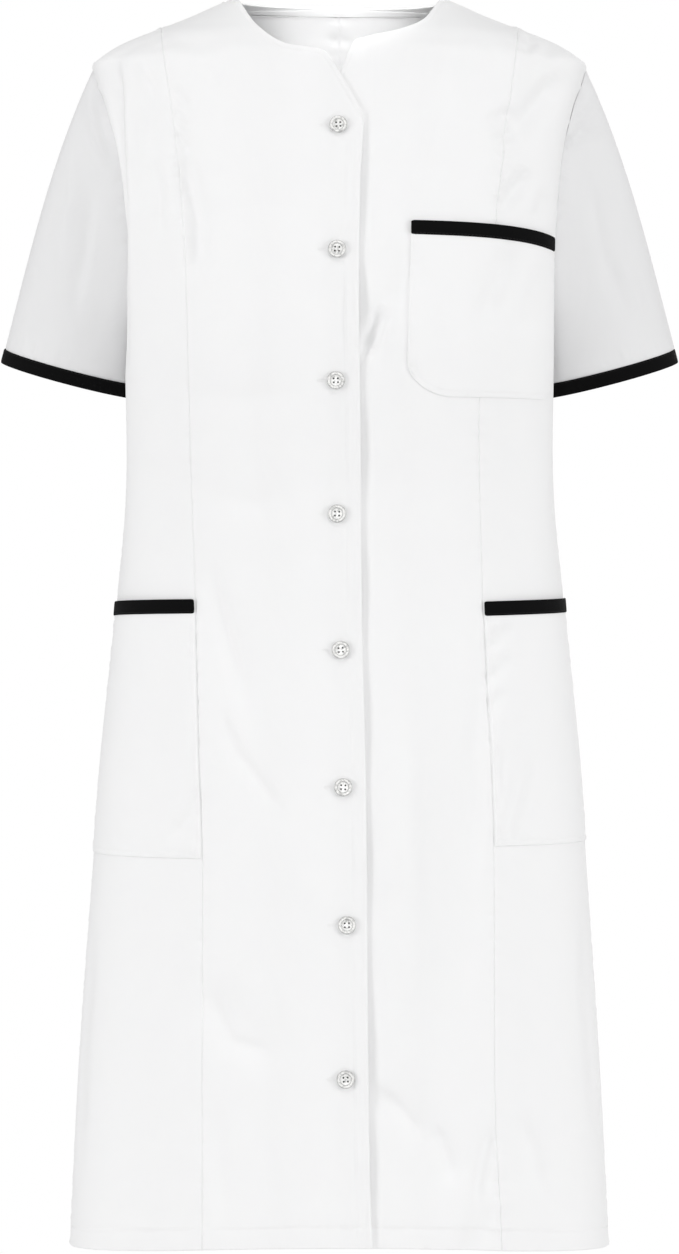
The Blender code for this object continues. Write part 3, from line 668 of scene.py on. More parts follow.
ROLL_AT_SLEEVE = 0.3  # share of the roll into a seam that is left beside a sleeve
SEAM_BLEND = 0.004  # half the length over which an armhole's edge becomes a side seam
NECK_BLEND = 0.001  # and the neck's edge a shoulder seam


def spaced(passed, dense, step, first, last):
    """Values read evenly by distance, with the closer lines of an edge at each end."""
    total = passed[-1]
    inner = np.linspace(first[-1], total - last[-1], max(int((total - first[-1] - last[-1]) / step), 1) + 1)
    at = np.concatenate((first[:-1], inner, total - np.array(last[:-1])[::-1]))
    return np.interp(at, passed, dense)


def mean_travelled(points, axis):
    """Mean distance travelled along one axis of a grid, from 0."""
    lengths = np.linalg.norm(np.diff(points, axis=axis), axis=-1)
    mean = lengths.mean(1 - axis)
    edge = lengths[:, 0] if axis == 0 else lengths[0]
    return np.concatenate(([0.0], np.cumsum(0.6 * mean + 0.4 * edge)))


def even_grid(surface, step, edges=(PLAIN_EDGE,) * 4):
    """Rows and shares for a surface(rows, shares), evenly spaced over it. Edges: top, foot, first, last."""
    dense = np.linspace(0, 1, 700) ** 1.8
    few = np.linspace(0, 1, 9)
    points, _ = surface(dense[:, None], few[None, :])
    rows = spaced(mean_travelled(points, 0), dense, step, edges[0], edges[1])
    dense = np.linspace(0, 1, 600)
    points, _ = surface(few[:, None], dense[None, :])
    shares = spaced(mean_travelled(points, 1), dense, step, edges[2], edges[3])
    return rows[:, None], shares[None, :]


def cloth_coordinates(points):
    """Distances along the cloth, across and down, for its weave."""
    across = np.linalg.norm(np.diff(points, axis=1), axis=-1).cumsum(1)
    down = np.linalg.norm(np.diff(points, axis=0), axis=-1).cumsum(0)
    u = np.concatenate((np.zeros((len(points), 1)), across), 1)
    v = np.concatenate((np.zeros((1, points.shape[1])), down), 0)
    return np.stack((u - u[:, -1:] / 2, -v), -1)


def placed_in_scene(name, data):
    made = bpy.data.objects.new(name, data)
    bpy.context.scene.collection.objects.link(made)
    return made


def mesh_object(name, vertices, faces, material, uv=None):
    mesh = bpy.data.meshes.new(name)
    mesh.from_pydata(np.asarray(vertices).tolist(), [], [list(face) for face in faces])
    mesh.shade_smooth()
    mesh.materials.append(material)
    if uv is not None:
        layer = mesh.uv_layers.new(name="cloth")
        corners = np.empty(len(mesh.loops), np.int32)
        mesh.loops.foreach_get("vertex_index", corners)
        layer.uv.foreach_set("vector", np.asarray(uv, np.float32)[corners].ravel())
    return placed_in_scene(name, mesh)


def grid_quads(rows, columns, closed=False):
    """Corner numbers of the quads of a grid, row by row."""
    across = columns if closed else columns - 1
    r, c = np.meshgrid(np.arange(rows - 1), np.arange(across), indexing="ij")
    right = (c + 1) % columns
    quads = (r * columns + c, (r + 1) * columns + c, (r + 1) * columns + right, r * columns + right)
    return np.stack(quads, -1).reshape(-1, 4)


def shell(name, outer, inner, material):
    """A closed piece between an outer and an inner grid of points."""
    rows, columns = outer.shape[:2]
    count = rows * columns
    front = grid_quads(rows, columns)
    faces = [front, front[:, ::-1] + count]
    number = np.arange(count).reshape(rows, columns)
    for line in (number[0], number[-1][::-1], number[::-1, 0], number[:, -1]):
        faces.append(np.stack((line[:-1], line[1:], line[1:] + count, line[:-1] + count), -1))
    faces = np.concatenate(faces)
    corners = front[len(front) // 2]
    a, b, c = outer.reshape(-1, 3)[corners[:3]]
    through = a - inner.reshape(-1, 3)[corners[0]]
    if np.dot(np.cross(b - a, c - b), through) < 0:
        faces = faces[:, ::-1]
    uv = cloth_coordinates(outer).reshape(-1, 2)
    vertices = np.concatenate((outer.reshape(-1, 3), inner.reshape(-1, 3)))
    return mesh_object(name, vertices, faces, material, np.concatenate((uv, uv)))


EDGE_CELLS = 15  # grid cells from an edge that it still shapes


def edge_distances(points):
    """For the top, foot, first and last edge: distances from it and along it, for points near it."""
    found = {}
    windows = {
        "top": (np.s_[:EDGE_CELLS], points[0]),
        "foot": (np.s_[-EDGE_CELLS:], points[-1]),
        "first": (np.s_[:, :EDGE_CELLS], points[:, 0]),
        "last": (np.s_[:, -EDGE_CELLS:], points[:, -1]),
    }
    for edge, (window, line) in windows.items():
        distance = np.full(points.shape[:2], 1.0)
        along = np.zeros(points.shape[:2])
        distance[window], along[window] = from_line(points[window], line)
        found[edge] = distance, along
    return found


def round_over(distance, radius):
    """How far a rounded rim drops at a distance from it."""
    short = np.clip(radius - distance, 0, radius)
    return radius - np.sqrt(radius**2 - short**2)


def groove(distance):
    """How far cloth rolls in beside a seam."""
    return GROOVE * np.clip(1 - distance / GROOVE_WIDTH, 0, 1) ** 2


def sewn_cloth(name, surface, step, styles, lines, extra=None):
    """A panel over the body.

    styles gives each edge: "seam" rolls in, "side" meets the sleeve and then is a seam, "free" is a
    doubled rounded edge, "neck" is free and then a seam along the shoulder, and "hem" is turned up
    inside. lines gives each edge's grid lines. extra(points, near) moves the cloth out.
    """
    order = ("top", "foot", "first", "last")
    rows, shares = even_grid(surface, step, [lines[edge] for edge in order])
    points, outs = surface(rows, shares)
    near = edge_distances(points)
    lift = WALL + relief(points, outs)
    if extra:
        lift = lift + extra(points, near)
    thickness = np.full(lift.shape, THIN)
    drop = np.zeros(lift.shape)
    rim = np.zeros(lift.shape)
    for edge in order:
        distance, along = near[edge]
        free = 1.0 if styles[edge] in ("free", "hem") else 0.0
        above = fade(ARMHOLE_BOTTOM - SEAM_BLEND, ARMHOLE_BOTTOM + SEAM_BLEND, points[..., 2])
        sleeved = above if styles[edge] == "side" else 0.0
        if styles[edge] == "neck":
            out = np.abs(points[..., 0])
            free = 1 - fade(NECK_HALF_WIDTH - NECK_BLEND, NECK_HALF_WIDTH + NECK_BLEND, out)
        if styles[edge] == "hem":
            past_turn = distance - HEM_DEPTH
            thickness += THIN * (1 - fade(*HEM_THINS, past_turn))
            lift -= HEM_DENT * bell(past_turn, 0.0010)
            lift += pucker(past_turn, along, HEM_GATHER, 0.008)
        else:
            thickness += free * THIN * (1 - fade(*EDGE_THINS, distance))
            upper = 1 + YOKE_GATHER * fade(*YOKE, points[..., 2])
            flat_at_sleeve = mix(1, fade(0, FLAT_AT_SLEEVE, distance), sleeved)
            lift += (1 - free) * upper * flat_at_sleeve * pucker(distance, along, SEAM_GATHER)
        rim = np.maximum(rim, free * round_over(distance, THIN * 0.98))
        drop = np.maximum(drop, (1 - free) * groove(distance) * mix(1, ROLL_AT_SLEEVE, sleeved))
    outer = points + outs * (lift - np.maximum(rim, drop))[..., None]
    inner = points + outs * (lift - thickness + rim)[..., None]
    return shell(name, outer, inner, WHITE)


BAND_SQUARE = 5.0  # squareness of a band's section


def swept(name, centres, across, outs, profile, material, closed=False):
    """A profile of (across, out) offsets swept along centres, closed into a ring or capped."""
    profile = np.asarray(profile)
    points = centres[:, None] + across[:, None] * profile[..., :1] + outs[:, None] * profile[..., 1:]
    count = points.shape[1]
    rows = np.concatenate((points, points[:1])) if closed else points
    quads = grid_quads(len(rows), count, closed=True) % (len(points) * count)
    faces = quads.tolist()
    if not closed:
        faces.append(list(range(count))[::-1])
        faces.append([len(quads) - count + k + count for k in range(count)])
    middle = points.mean(1)
    a, b, c = (points.reshape(-1, 3)[quads[0][k]] for k in (0, 1, 2))
    if np.dot(np.cross(b - a, c - b), a - middle[0]) < 0:
        faces = [face[::-1] for face in faces]
    along = travelled(middle)[:, None]
    around = travelled(profile.reshape(-1, count, 2)[0])[None, :]
    uv = np.stack(np.broadcast_arrays(along, around), -1).reshape(-1, 2)
    return mesh_object(name, points.reshape(-1, 3), faces, material, uv)


def rounded_profile(half_width, half_thickness, count=26):
    """Ring of (across, out) offsets of a flat band with rounded edges."""
    turn = np.linspace(0, 2 * pi, count, endpoint=False) + 0.12
    swing = np.stack((np.cos(turn), np.sin(turn)), -1)
    return np.array((half_width, half_thickness)) * np.sign(swing) * np.abs(swing) ** (2 / BAND_SQUARE)


# ---- stitches ----
# a length of thread: share of the way along, and its size and sag in radii
THREAD_RINGS = ((0.0, 0.35, 0.7), (0.16, 0.95, 0.1), (0.84, 0.95, 0.1), (1.0, 0.35, 0.7))


def thread_bars(name, starts, ends, outs, radius, material):
    """Short lengths of thread, each bowed up between its two ends."""
    sides = 5
    turn = np.linspace(0, 2 * pi, sides, endpoint=False)[None, :, None]
    way = unit(ends - starts)
    beside = unit(np.cross(way, outs))
    up = np.cross(beside, way)
    rim = np.cos(turn) * beside[:, None] + np.sin(turn) * up[:, None]
    rings = []
    for t, size, sag in THREAD_RINGS:
        centre = mix(starts, ends, t) - up * radius * sag
        rings.append(centre[:, None] + rim * radius * size)
    points = np.stack(rings, 1).reshape(len(starts), -1, 3)
    quads = grid_quads(4, sides, closed=True).tolist()
    one = quads + [list(range(sides))[::-1], [3 * sides + k for k in range(sides)]]
    faces = [[corner + n * 4 * sides for corner in face] for n in range(len(starts)) for face in one]
    return mesh_object(name, points.reshape(-1, 3), faces, material)


def stitching(name, lines, material):
    """Running stitches along (points, outs) lines, as one piece."""
    starts, ends, ups = [], [], []
    for points, outs in lines:
        passed = travelled(points)
        at = np.arange(FIRST_STITCH, passed[-1] - STITCH_LENGTH, STITCH_PITCH)
        for found, places, values in (
            (starts, at, points),
            (ends, at + STITCH_LENGTH, points),
            (ups, at, outs),
        ):
            found.append(np.stack([np.interp(places, passed, values[:, k]) for k in range(3)], -1))
    starts, ends, ups = (np.concatenate(found) for found in (starts, ends, ups))
    return thread_bars(name, starts, ends, unit(ups), THREAD_RADIUS, material)


def on_cloth(around, height, lift=WALL):
    """Points on the fine cloth's outer face, with its relief, and their outs."""
    points, outs = body(around, height)
    return points + outs * (lift + relief(points, outs))[..., None], outs


# ---- materials ----
def plain_material(name, colour, roughness):
    made = bpy.data.materials.new(name)
    made.use_nodes = True
    shader = made.node_tree.nodes["Principled BSDF"]
    shader.inputs["Base Color"].default_value = (*colour, 1.0)
    shader.inputs["Roughness"].default_value = roughness
    return made


def shader_node(tree, kind, inputs, **settings):
    """A node of a kind with its settings. inputs gives values or sockets by their places."""
    node = tree.nodes.new("ShaderNode" + kind)
    for name, value in settings.items():
        setattr(node, name, value)
    for place, value in inputs.items():
        if isinstance(value, bpy.types.NodeSocket):
            tree.links.new(value, node.inputs[place])
        else:
            node.inputs[place].default_value = value
    return node


def math_node(tree, operation, *values):
    """The output of a math node on sockets or numbers."""
    return shader_node(tree, "Math", dict(enumerate(values)), operation=operation).outputs["Value"]


def mixed_colour(tree, share, first, second):
    """The output of a mix of two colours, each a value or a socket."""
    inputs = {"Factor": share, "A": first, "B": second}
    return shader_node(tree, "Mix", inputs, data_type="RGBA").outputs["Result"]


def woven_material(name, light, dark, roughness, sheen, specular, pitch, depth):
    """Woven cloth. light and dark are its uneven tone, pitch the threads' spacing, depth the bump's."""
    made = plain_material(name, light, roughness)
    tree = made.node_tree
    shader = tree.nodes["Principled BSDF"]
    shader.inputs["Sheen Weight"].default_value = sheen
    shader.inputs["Sheen Roughness"].default_value = 0.45
    shader.inputs["Specular IOR Level"].default_value = specular
    metres = shader_node(tree, "UVMap", {}, uv_map="cloth").outputs["UV"]
    split = shader_node(tree, "SeparateXYZ", {"Vector": metres})
    turns = [math_node(tree, "MULTIPLY", split.outputs[axis], 2 * pi / pitch) for axis in "XY"]
    weave = math_node(tree, "MULTIPLY", *(math_node(tree, "SINE", turn) for turn in turns))
    slubs = shader_node(tree, "TexNoise", {"Scale": 1400.0, "Detail": 3.0, "Vector": metres})
    rough = math_node(tree, "MULTIPLY", slubs.outputs["Fac"], 1.6)
    height = math_node(tree, "ADD", weave, rough)
    bump = shader_node(tree, "Bump", {"Strength": 0.35, "Distance": depth, "Height": height})
    tree.links.new(bump.outputs["Normal"], shader.inputs["Normal"])
    cloud = shader_node(tree, "TexNoise", {"Scale": 38.0, "Detail": 4.0, "Vector": metres})
    tone = mixed_colour(tree, cloud.outputs["Fac"], (*dark, 1.0), (*light, 1.0))
    tree.links.new(tone, shader.inputs["Base Color"])
    return made


def pearl_material():
    """Polished pearl polyester: grey swirls in white, and painted shade as a dark line at the rim and the
    well.
    """
    made = plain_material("pearl", (0.8, 0.79, 0.77), 0.18)
    tree = made.node_tree
    shader = tree.nodes["Principled BSDF"]
    shader.inputs["Coat Weight"].default_value = 0.4
    shader.inputs["Coat Roughness"].default_value = 0.06
    spot = shader_node(tree, "NewGeometry", {})
    swirls = {"Scale": 230.0, "Detail": 2.0, "Distortion": 2.4, "Vector": spot.outputs["Position"]}
    swirl = shader_node(tree, "TexNoise", swirls)
    ramp = shader_node(tree, "ValToRGB", {"Fac": swirl.outputs["Fac"]})
    for stop, position, colour in zip(
        ramp.color_ramp.elements, (0.36, 0.52), ((0.52, 0.52, 0.51, 1.0), (0.88, 0.875, 0.86, 1.0))
    ):
        stop.position = position
        stop.color = colour
    places = shader_node(tree, "TexCoord", {})
    level = {0: places.outputs["Object"], 1: (1.0, 1.0, 0.0)}
    flat = shader_node(tree, "VectorMath", level, operation="MULTIPLY")
    radius = shader_node(tree, "VectorMath", {0: flat.outputs["Vector"]}, operation="LENGTH")
    # painted shade: dark lines painted round the rim's bevel and the well's wall, where shade falls
    lines = []
    for at, width in ((0.0070, 0.0005), (0.0047, 0.00035)):
        off = math_node(tree, "ABSOLUTE", math_node(tree, "SUBTRACT", radius.outputs["Value"], at))
        lines.append(math_node(tree, "LESS_THAN", off, width))
    ring = math_node(tree, "MULTIPLY", math_node(tree, "MAXIMUM", *lines), 0.45)
    tone = mixed_colour(tree, ring, ramp.outputs["Color"], (0.24, 0.24, 0.24, 1.0))
    tree.links.new(tone, shader.inputs["Base Color"])
    return made


POLYCOTTON = {"roughness": 0.82, "sheen": 0.10, "specular": 0.25, "pitch": 0.00046, "depth": 0.00012}
TAPE = {"roughness": 0.78, "sheen": 0.01, "specular": 0.06, "pitch": 0.00062, "depth": 0.00020}
WHITE = woven_material("white_polycotton", (0.90, 0.90, 0.90), (0.885, 0.885, 0.89), **POLYCOTTON)
# painted shade: the empty sleeves' white is painted darker than the body's, standing in for the shade they
# hang in
SLEEVE_WHITE_PAINTED_SHADE = woven_material(
    "white_polycotton_sleeve_painted_shade", (0.80, 0.80, 0.805), (0.785, 0.785, 0.79), **POLYCOTTON
)
BLACK = woven_material("black_tape", (0.0036, 0.0036, 0.0038), (0.0026, 0.0026, 0.0028), **TAPE)
WHITE_THREAD = plain_material("white_thread", (0.90, 0.90, 0.90), 0.55)
BLACK_THREAD = plain_material("black_thread", (0.004, 0.004, 0.0042), 0.85)
PEARL = pearl_material()
# painted shade: the buttons' hole walls are painted near-black, where there is only shade
HOLE = plain_material("button_hole_shade", (0.03, 0.03, 0.03), 0.7)


# ---- the panels of the body ----
LAP_LIFT_REACH = 0.011
LapLift = namedtuple("LapLift", "height lift")
LAP_LIFTS = [
    LapLift(height, lift)
    for height, lift in (
        (-0.09, 0.0008), (-0.15, 0.0018), (-0.196, 0.0006), (-0.25, 0.0035),
        (-0.303, 0.0010), (-0.36, 0.0022), (-0.412, 0.0006), (-0.47, 0.0018),
        (-0.524, 0.0008), (-0.58, 0.0016), (-0.636, 0.0006), (-0.69, 0.0018),
        (-0.748, 0.0006), (-0.81, 0.0012), (-0.850, 0.0020), (-0.888, 0.0020),
        (-0.900, 0.0008), (-0.935, 0.0020), (-0.985, 0.0010), (-1.01, 0.0006),
    )
]


def placed(places):
    """Surface(rows, shares) of points and outs from a rule for places."""
    return lambda rows, shares: body(*places(rows, shares))


def lap_lift(points, distance):
    """The lapping edge stands off a little more between the buttons."""
    return by_height(LAP_LIFTS, "lift", points[..., 2]) * bell(distance, LAP_LIFT_REACH)


def under_lap(points):
    """How far the under front lies back behind the lapping one."""
    past_edge = points[..., 0] - front_line("lap_edge", points[..., 2])
    return -UNDER_DEPTH * (1 - fade(*UNDER_RETURN, past_edge))


def stitched_in(distance):
    """How far a row of edge stitching pulls the cloth in."""
    return STITCH_PULL * bell(distance - EDGE_STITCH, 0.0009)


def cloth_piece(node, piece, with_pieces=()):
    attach(piece, "root")
    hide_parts(node)
    for extra in with_pieces:
        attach(extra, "root")


def hem_stitching(low, high):
    """Line of the hem's stitching between two places round the body."""
    around = np.linspace(low, high, 400)
    return on_cloth(around, hem_height(around) + HEM_DEPTH)


def neck_stitching(side, x, inset):
    """Line of stitching at a distance below the neck's edge, on one front."""
    top = neck_or_shoulder(side)(x)
    slope = np.gradient(top, x)
    height = top - inset * np.sqrt(1 + np.minimum(slope**2, STEEPEST**2))
    return on_cloth(around_at_x(x, height), height)


STEEPEST = 3.0  # slope of the neck's edge past which its stitching no longer follows
FACING_LIFT = WALL - 2 * THIN - 0.0002  # just inside the back's doubled edge
FACING_HALF_THICKNESS = 0.00022
FACING_TAPER = 0.016  # from each end of the neck
LAP_STITCH_TOP = -0.094  # where the lapping edge leaves the neckline
HEM_STITCH_RIGHT = (-0.1105, 0.024)  # x of its ends on each front
HEM_STITCH_LEFT = (0.027, 0.131)
HEM_STITCH_HEIGHTS = np.array((HEM_SIDE, HEM_FRONT)) + HEM_DEPTH
HEM_STITCH_ENDS = (0.01, 0.99)  # shares of a side panel's hem
BACK_STITCH_IN = 0.001  # above the lower edge of the back's facing
SEAM = {"top": "neck", "foot": "hem", "first": "seam", "last": "seam"}
SIDE_SEAM = SEAM | {"last": "side"}
PLAIN_LINES = {"top": PLAIN_EDGE, "foot": HEM_EDGE, "first": PLAIN_EDGE, "last": PLAIN_EDGE}
LAP_LINES = PLAIN_LINES | {"top": STITCHED_EDGE, "first": STITCHED_EDGE}


def lapping_front():
    """Wearer's right front, whose free edge laps over the other, with its stitching."""

    def extra(points, near):
        from_lap, from_neck = near["first"][0], near["top"][0]
        return lap_lift(points, from_lap) - stitched_in(from_lap) - stitched_in(from_neck)

    surface = placed(front_places("right", -1, 0.0))
    piece = sewn_cloth("front_right_cloth", surface, STEP, SEAM | {"first": "free"}, LAP_LINES, extra)
    rows = np.linspace(0, 1, 900) ** 1.5
    height = mix(LAP_STITCH_TOP, HEM_FRONT + 0.002, rows)
    points, outs = on_cloth(around_at_x(front_line("lap_edge", height) - EDGE_STITCH, height), height)
    lines = [(points + outs * (lap_lift(points, EDGE_STITCH) - STITCH_PULL)[:, None], outs)]
    x = np.linspace(LAP_TOP_X - EDGE_STITCH, -NECK_HALF_WIDTH + 0.001, 400)
    lines.extend(neck_stitching(-1, x, inset) for inset in (EDGE_STITCH, FACING_STITCH))
    lines.append(hem_stitching(*around_at_x(np.array(HEM_STITCH_RIGHT), HEM_STITCH_HEIGHTS)))
    return piece, stitching("front_right_stitching", lines, WHITE_THREAD)


def under_front():
    """Wearer's left front, which passes under the other."""

    def extra(points, near):
        return under_lap(points) - stitched_in(near["top"][0])

    surface = placed(front_places("left", 1, LAP))
    piece = sewn_cloth("front_left_cloth", surface, STEP, SEAM | {"first": "free"}, LAP_LINES, extra)
    x = np.linspace(LAP_TOP_X - LAP + 0.006, NECK_HALF_WIDTH - 0.001, 400)
    neck = neck_stitching(1, x, EDGE_STITCH)
    hem = hem_stitching(*around_at_x(np.array(HEM_STITCH_LEFT), HEM_STITCH_HEIGHTS[::-1]))
    lines = [(points + outs * under_lap(points)[:, None], outs) for points, outs in (neck, hem)]
    return piece, stitching("front_left_stitching", lines, WHITE_THREAD)


def side_front(name, side):
    surface = placed(side_front_places(name, side))
    piece = sewn_cloth(f"side_front_{name}_cloth", surface, STEP, SIDE_SEAM, PLAIN_LINES)
    seam = around_at_x(front_line(name + "_seam", HEM_SIDE), HEM_SIDE)
    corner = around_at_y(SIDE_SEAM_Y, HEM_SIDE, side)
    hem = hem_stitching(*(mix(seam, corner, end) for end in HEM_STITCH_ENDS))
    return piece, stitching(f"side_front_{name}_stitching", [hem], WHITE_THREAD)


def back_half(name, side):
    surface = placed(back_places(side))
    lines = PLAIN_LINES | {"top": STITCHED_EDGE}
    piece = sewn_cloth(f"back_{name}_cloth", surface, BACK_STEP, SIDE_SEAM, lines)
    corner = around_at_y(SIDE_SEAM_Y, HEM_SIDE, side) % (2 * pi)
    x = np.linspace(0.0008, NECK_HALF_WIDTH - 0.001, 200) * side
    height = back_top(x) - FACING_DEPTH + BACK_STITCH_IN
    hem = hem_stitching(*(mix(corner, pi, end) for end in HEM_STITCH_ENDS))
    lines = [hem, on_cloth(pi - around_at_x(x, height), height)]
    return piece, stitching(f"back_{name}_stitching", lines, WHITE_THREAD)


def back_neck_facing():
    """Narrow strip turned in behind the back of the neck, with its stitching."""
    reach = NECK_HALF_WIDTH - 0.0012
    x = np.linspace(-reach, reach, 150)
    middle = back_top(x) - FACING_DEPTH / 2 - 0.0002
    around = pi - around_at_x(x, middle)
    centres, _ = on_cloth(around, middle, FACING_LIFT)
    lower, _ = on_cloth(around, middle - 0.002, FACING_LIFT)
    down = unit(lower - centres)
    outs = unit(np.cross(np.gradient(centres, axis=0), down))
    ends = np.clip((NECK_HALF_WIDTH - np.abs(x)) / FACING_TAPER, 0.12, 1.0)
    profile = rounded_profile(FACING_DEPTH / 2, FACING_HALF_THICKNESS, 18) * ends[:, None, None]
    strip = swept("neck_facing_cloth", centres, down, outs, profile, WHITE)
    height = back_top(x) - FACING_DEPTH + BACK_STITCH_IN
    points, ups = on_cloth(pi - around_at_x(x, height), height, FACING_LIFT - 0.0002)
    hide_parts("neck_facing")
    return strip, stitching("neck_facing_stitching", [(points, -ups)], WHITE_THREAD)


# ---- sleeves ----
SLEEVE_TUCK = -0.0012  # a sleeve starts this far under the edge of the armhole
SLEEVE_TOP_GAP = 0.0003
SLEEVE_TOP = (-0.105, -0.085)  # heights between which the tuck ends
SLEEVE_FLARE = (0.20, 0.25)  # how far it leans out at the seam, and more at the front and back
SLEEVE_GATHER = 0.0004
CUFF_GATHER = 0.00022
CUFF_SEAM = 0.009  # from the sleeve's edge
CUFF_SQUEEZE = 0.0009  # under the binding
CUFF_STEPS = 140


def sleeve_surface(side, last):
    """Surface(rows, shares) of a sleeve, from the underarm all round, and down to last above its edge."""
    across = np.array((side, 0.0, 0.0))
    axis = np.array((side * SLEEVE_LEAN, 0.0, -1.0)) / np.hypot(SLEEVE_LEAN, 1)
    outward = np.array((side, 0.0, SLEEVE_LEAN)) / np.hypot(SLEEVE_LEAN, 1)
    backward = np.array((0.0, 1.0, CUFF_RISE))
    centre = np.array(CUFF_CENTRE) * (side, 1, 1)

    def surface(rows, shares):
        turned = (shares + 0.5) % 1.0
        on_front = turned < 0.5
        turn_share = np.where(on_front, 2 * turned, 2 * (1 - turned))
        front = armhole(turn_share, "front", side)
        back = armhole(turn_share, "back", side)
        around = np.where(on_front, front[0], back[0])
        edge, out = body(around, np.where(on_front, front[1], back[1]))
        gap = mix(SLEEVE_TUCK, side * SLEEVE_TOP_GAP, fade(*SLEEVE_TOP, edge[..., 2:]))
        start = edge + out * (WALL + relief(edge, out))[..., None] + across * gap
        swing = (pi * turn_share**ARMHOLE_GRADING * np.where(on_front, 1, -1))[..., None]
        end = centre + outward * CUFF_HALF_WIDTH * np.cos(swing) - backward * CUFF_HALF_DEPTH * np.sin(swing)
        reach = np.linalg.norm(end - start, axis=-1, keepdims=True)
        leave = axis + across * (SLEEVE_FLARE[0] + SLEEVE_FLARE[1] * np.sin(swing) ** 2)
        leave *= reach / np.linalg.norm(leave, axis=-1, keepdims=True)
        arrive = axis * reach
        t = 1 - mix(reach, last, rows[..., None]) / reach
        points = start * (2 * t**3 - 3 * t**2 + 1) + leave * (t**3 - 2 * t**2 + t)
        points = points + end * (3 * t**2 - 2 * t**3) + arrive * (t**3 - t**2)
        away = outward * np.cos(swing) - backward * np.sin(swing)
        return points, away + 0 * points

    return surface


def with_normals(points, away):
    """Outs of a grid from its own shape, on the side of away."""
    normals = np.cross(np.gradient(points, axis=1), np.gradient(points, axis=0))
    normals /= np.linalg.norm(normals, axis=-1, keepdims=True) + 1e-12
    return normals * np.sign((normals * away).sum(-1, keepdims=True))


def sleeve(name, side):
    """Short sleeve, from its seam to under its binding."""
    rough = sleeve_surface(side, BINDING_WIDTH - 0.002)
    rows, shares = even_grid(rough, STEP, (STITCHED_EDGE, PLAIN_EDGE, PLAIN_EDGE, PLAIN_EDGE))
    points, away = rough(rows, shares)
    outs = with_normals(points, away)
    outs[:, -1] = outs[:, 0] = (outs[:, 0] + outs[:, -1]) / 2
    near = edge_distances(points)
    distance, along = near["top"]
    lift = relief(points, outs, SLEEVE_CREASES) * fade(0.0, 0.007, distance)
    lift += pucker(distance, along, SLEEVE_GATHER, 0.009) * fade(0.0, FLAT_AT_SLEEVE, distance)
    lift -= groove(np.minimum(near["first"][0], near["last"][0]))
    foot, along = near["foot"]
    lift += pucker(np.abs(foot - CUFF_SEAM), along, CUFF_GATHER)
    lift -= CUFF_SQUEEZE * (1 - fade(0.0012, 0.0035, foot))
    outer = points + outs * lift[..., None]
    # the sleeve's cloth is the white painted darker, as painted shade
    return shell(f"sleeve_{name}_cloth", outer, outer - outs * THIN, SLEEVE_WHITE_PAINTED_SHADE)


def cuff_binding(name, side):
    """Binding round a sleeve's edge, with its stitching."""
    ring = np.linspace(0, 1, CUFF_STEPS, endpoint=False)[None, :]
    heights = np.array((BINDING_WIDTH, BINDING_WIDTH / 2, 0.0))
    upper, middle, lower = (sleeve_surface(side, height)(np.ones((1, 1)), ring) for height in heights)
    down = unit(lower[0][0] - upper[0][0])
    away = unit(middle[1][0])
    centres = middle[0][0] - away * 0.0006
    profile = rounded_profile(BINDING_WIDTH / 2, BINDING_HALF_THICKNESS)
    band = swept(f"cuff_binding_{name}_tape", centres, down, away, profile, BLACK, closed=True)
    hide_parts("cuff_binding_" + name)
    edge = upper[0][0] + down * 0.0012 + away * 0.00042
    whole_ring = np.arange(CUFF_STEPS + 1) % CUFF_STEPS
    line = edge[whole_ring], away[whole_ring]
    return band, stitching(f"cuff_binding_{name}_stitching", [line], BLACK_THREAD)


# ---- pockets ----
POCKET_INSET = 0.0009  # from the seams beside a side pocket
POCKET_TURN = 0.008  # turned in round a pocket's sides and foot
POCKET_THICK = 0.0010  # where it is turned in
POCKET_ROUNDING = 0.0009
POCKET_PULL = 0.0003  # how far its stitching pulls it in
POCKET_GATHER = 0.00022
END_SHARES = np.array((0.0, 0.0004, 0.002, 0.005, 0.010, 0.016))  # rounded corners of a tape's ends
END_ROUNDING = 0.22


def pocket(node, place_at, mouth_at, foot_at, lift_at, stitched):
    """A patch pocket on the cloth under it, and the lines of its stitching.

    place_at(share, height) is a place round the body; stitched names the sides that show a line of
    stitching.
    """

    def surface(rows, shares):
        top = mouth_at(shares) - BINDING_WIDTH + 0.002
        height = mix(top, foot_at(shares), rows)
        return body(place_at(shares, height), height)

    rows, shares = even_grid(surface, STEP, (PLAIN_EDGE,) + (STITCHED_EDGE,) * 3)
    points, outs = surface(rows, shares)
    near = edge_distances(points)
    height = points[..., 2]
    rim = np.minimum(np.minimum(near["first"][0], near["last"][0]), near["foot"][0])
    lift = relief(points, outs) + WALL + lift_at(shares, height) * fade(0.0, POCKET_TURN, rim) + POCKET_LIFT
    lift += POCKET_PULL * (fade(0.0012, 0.003, rim) - bell(rim - EDGE_STITCH, 0.001))
    for edge in ("first", "last", "foot"):
        distance, along = near[edge]
        gather = pucker(np.abs(distance - EDGE_STITCH), along, POCKET_GATHER, 0.007)
        lift += gather * fade(0, 0.002, distance)
    thickness = np.where(rim < POCKET_TURN, POCKET_THICK, THIN)
    drop = round_over(rim, POCKET_ROUNDING)
    outer = points + outs * (lift - drop)[..., None]
    inner = points + outs * (lift - thickness + 0.1 * drop)[..., None]
    return shell(node + "_cloth", outer, inner, WHITE), pocket_stitching(outer, outs, stitched)


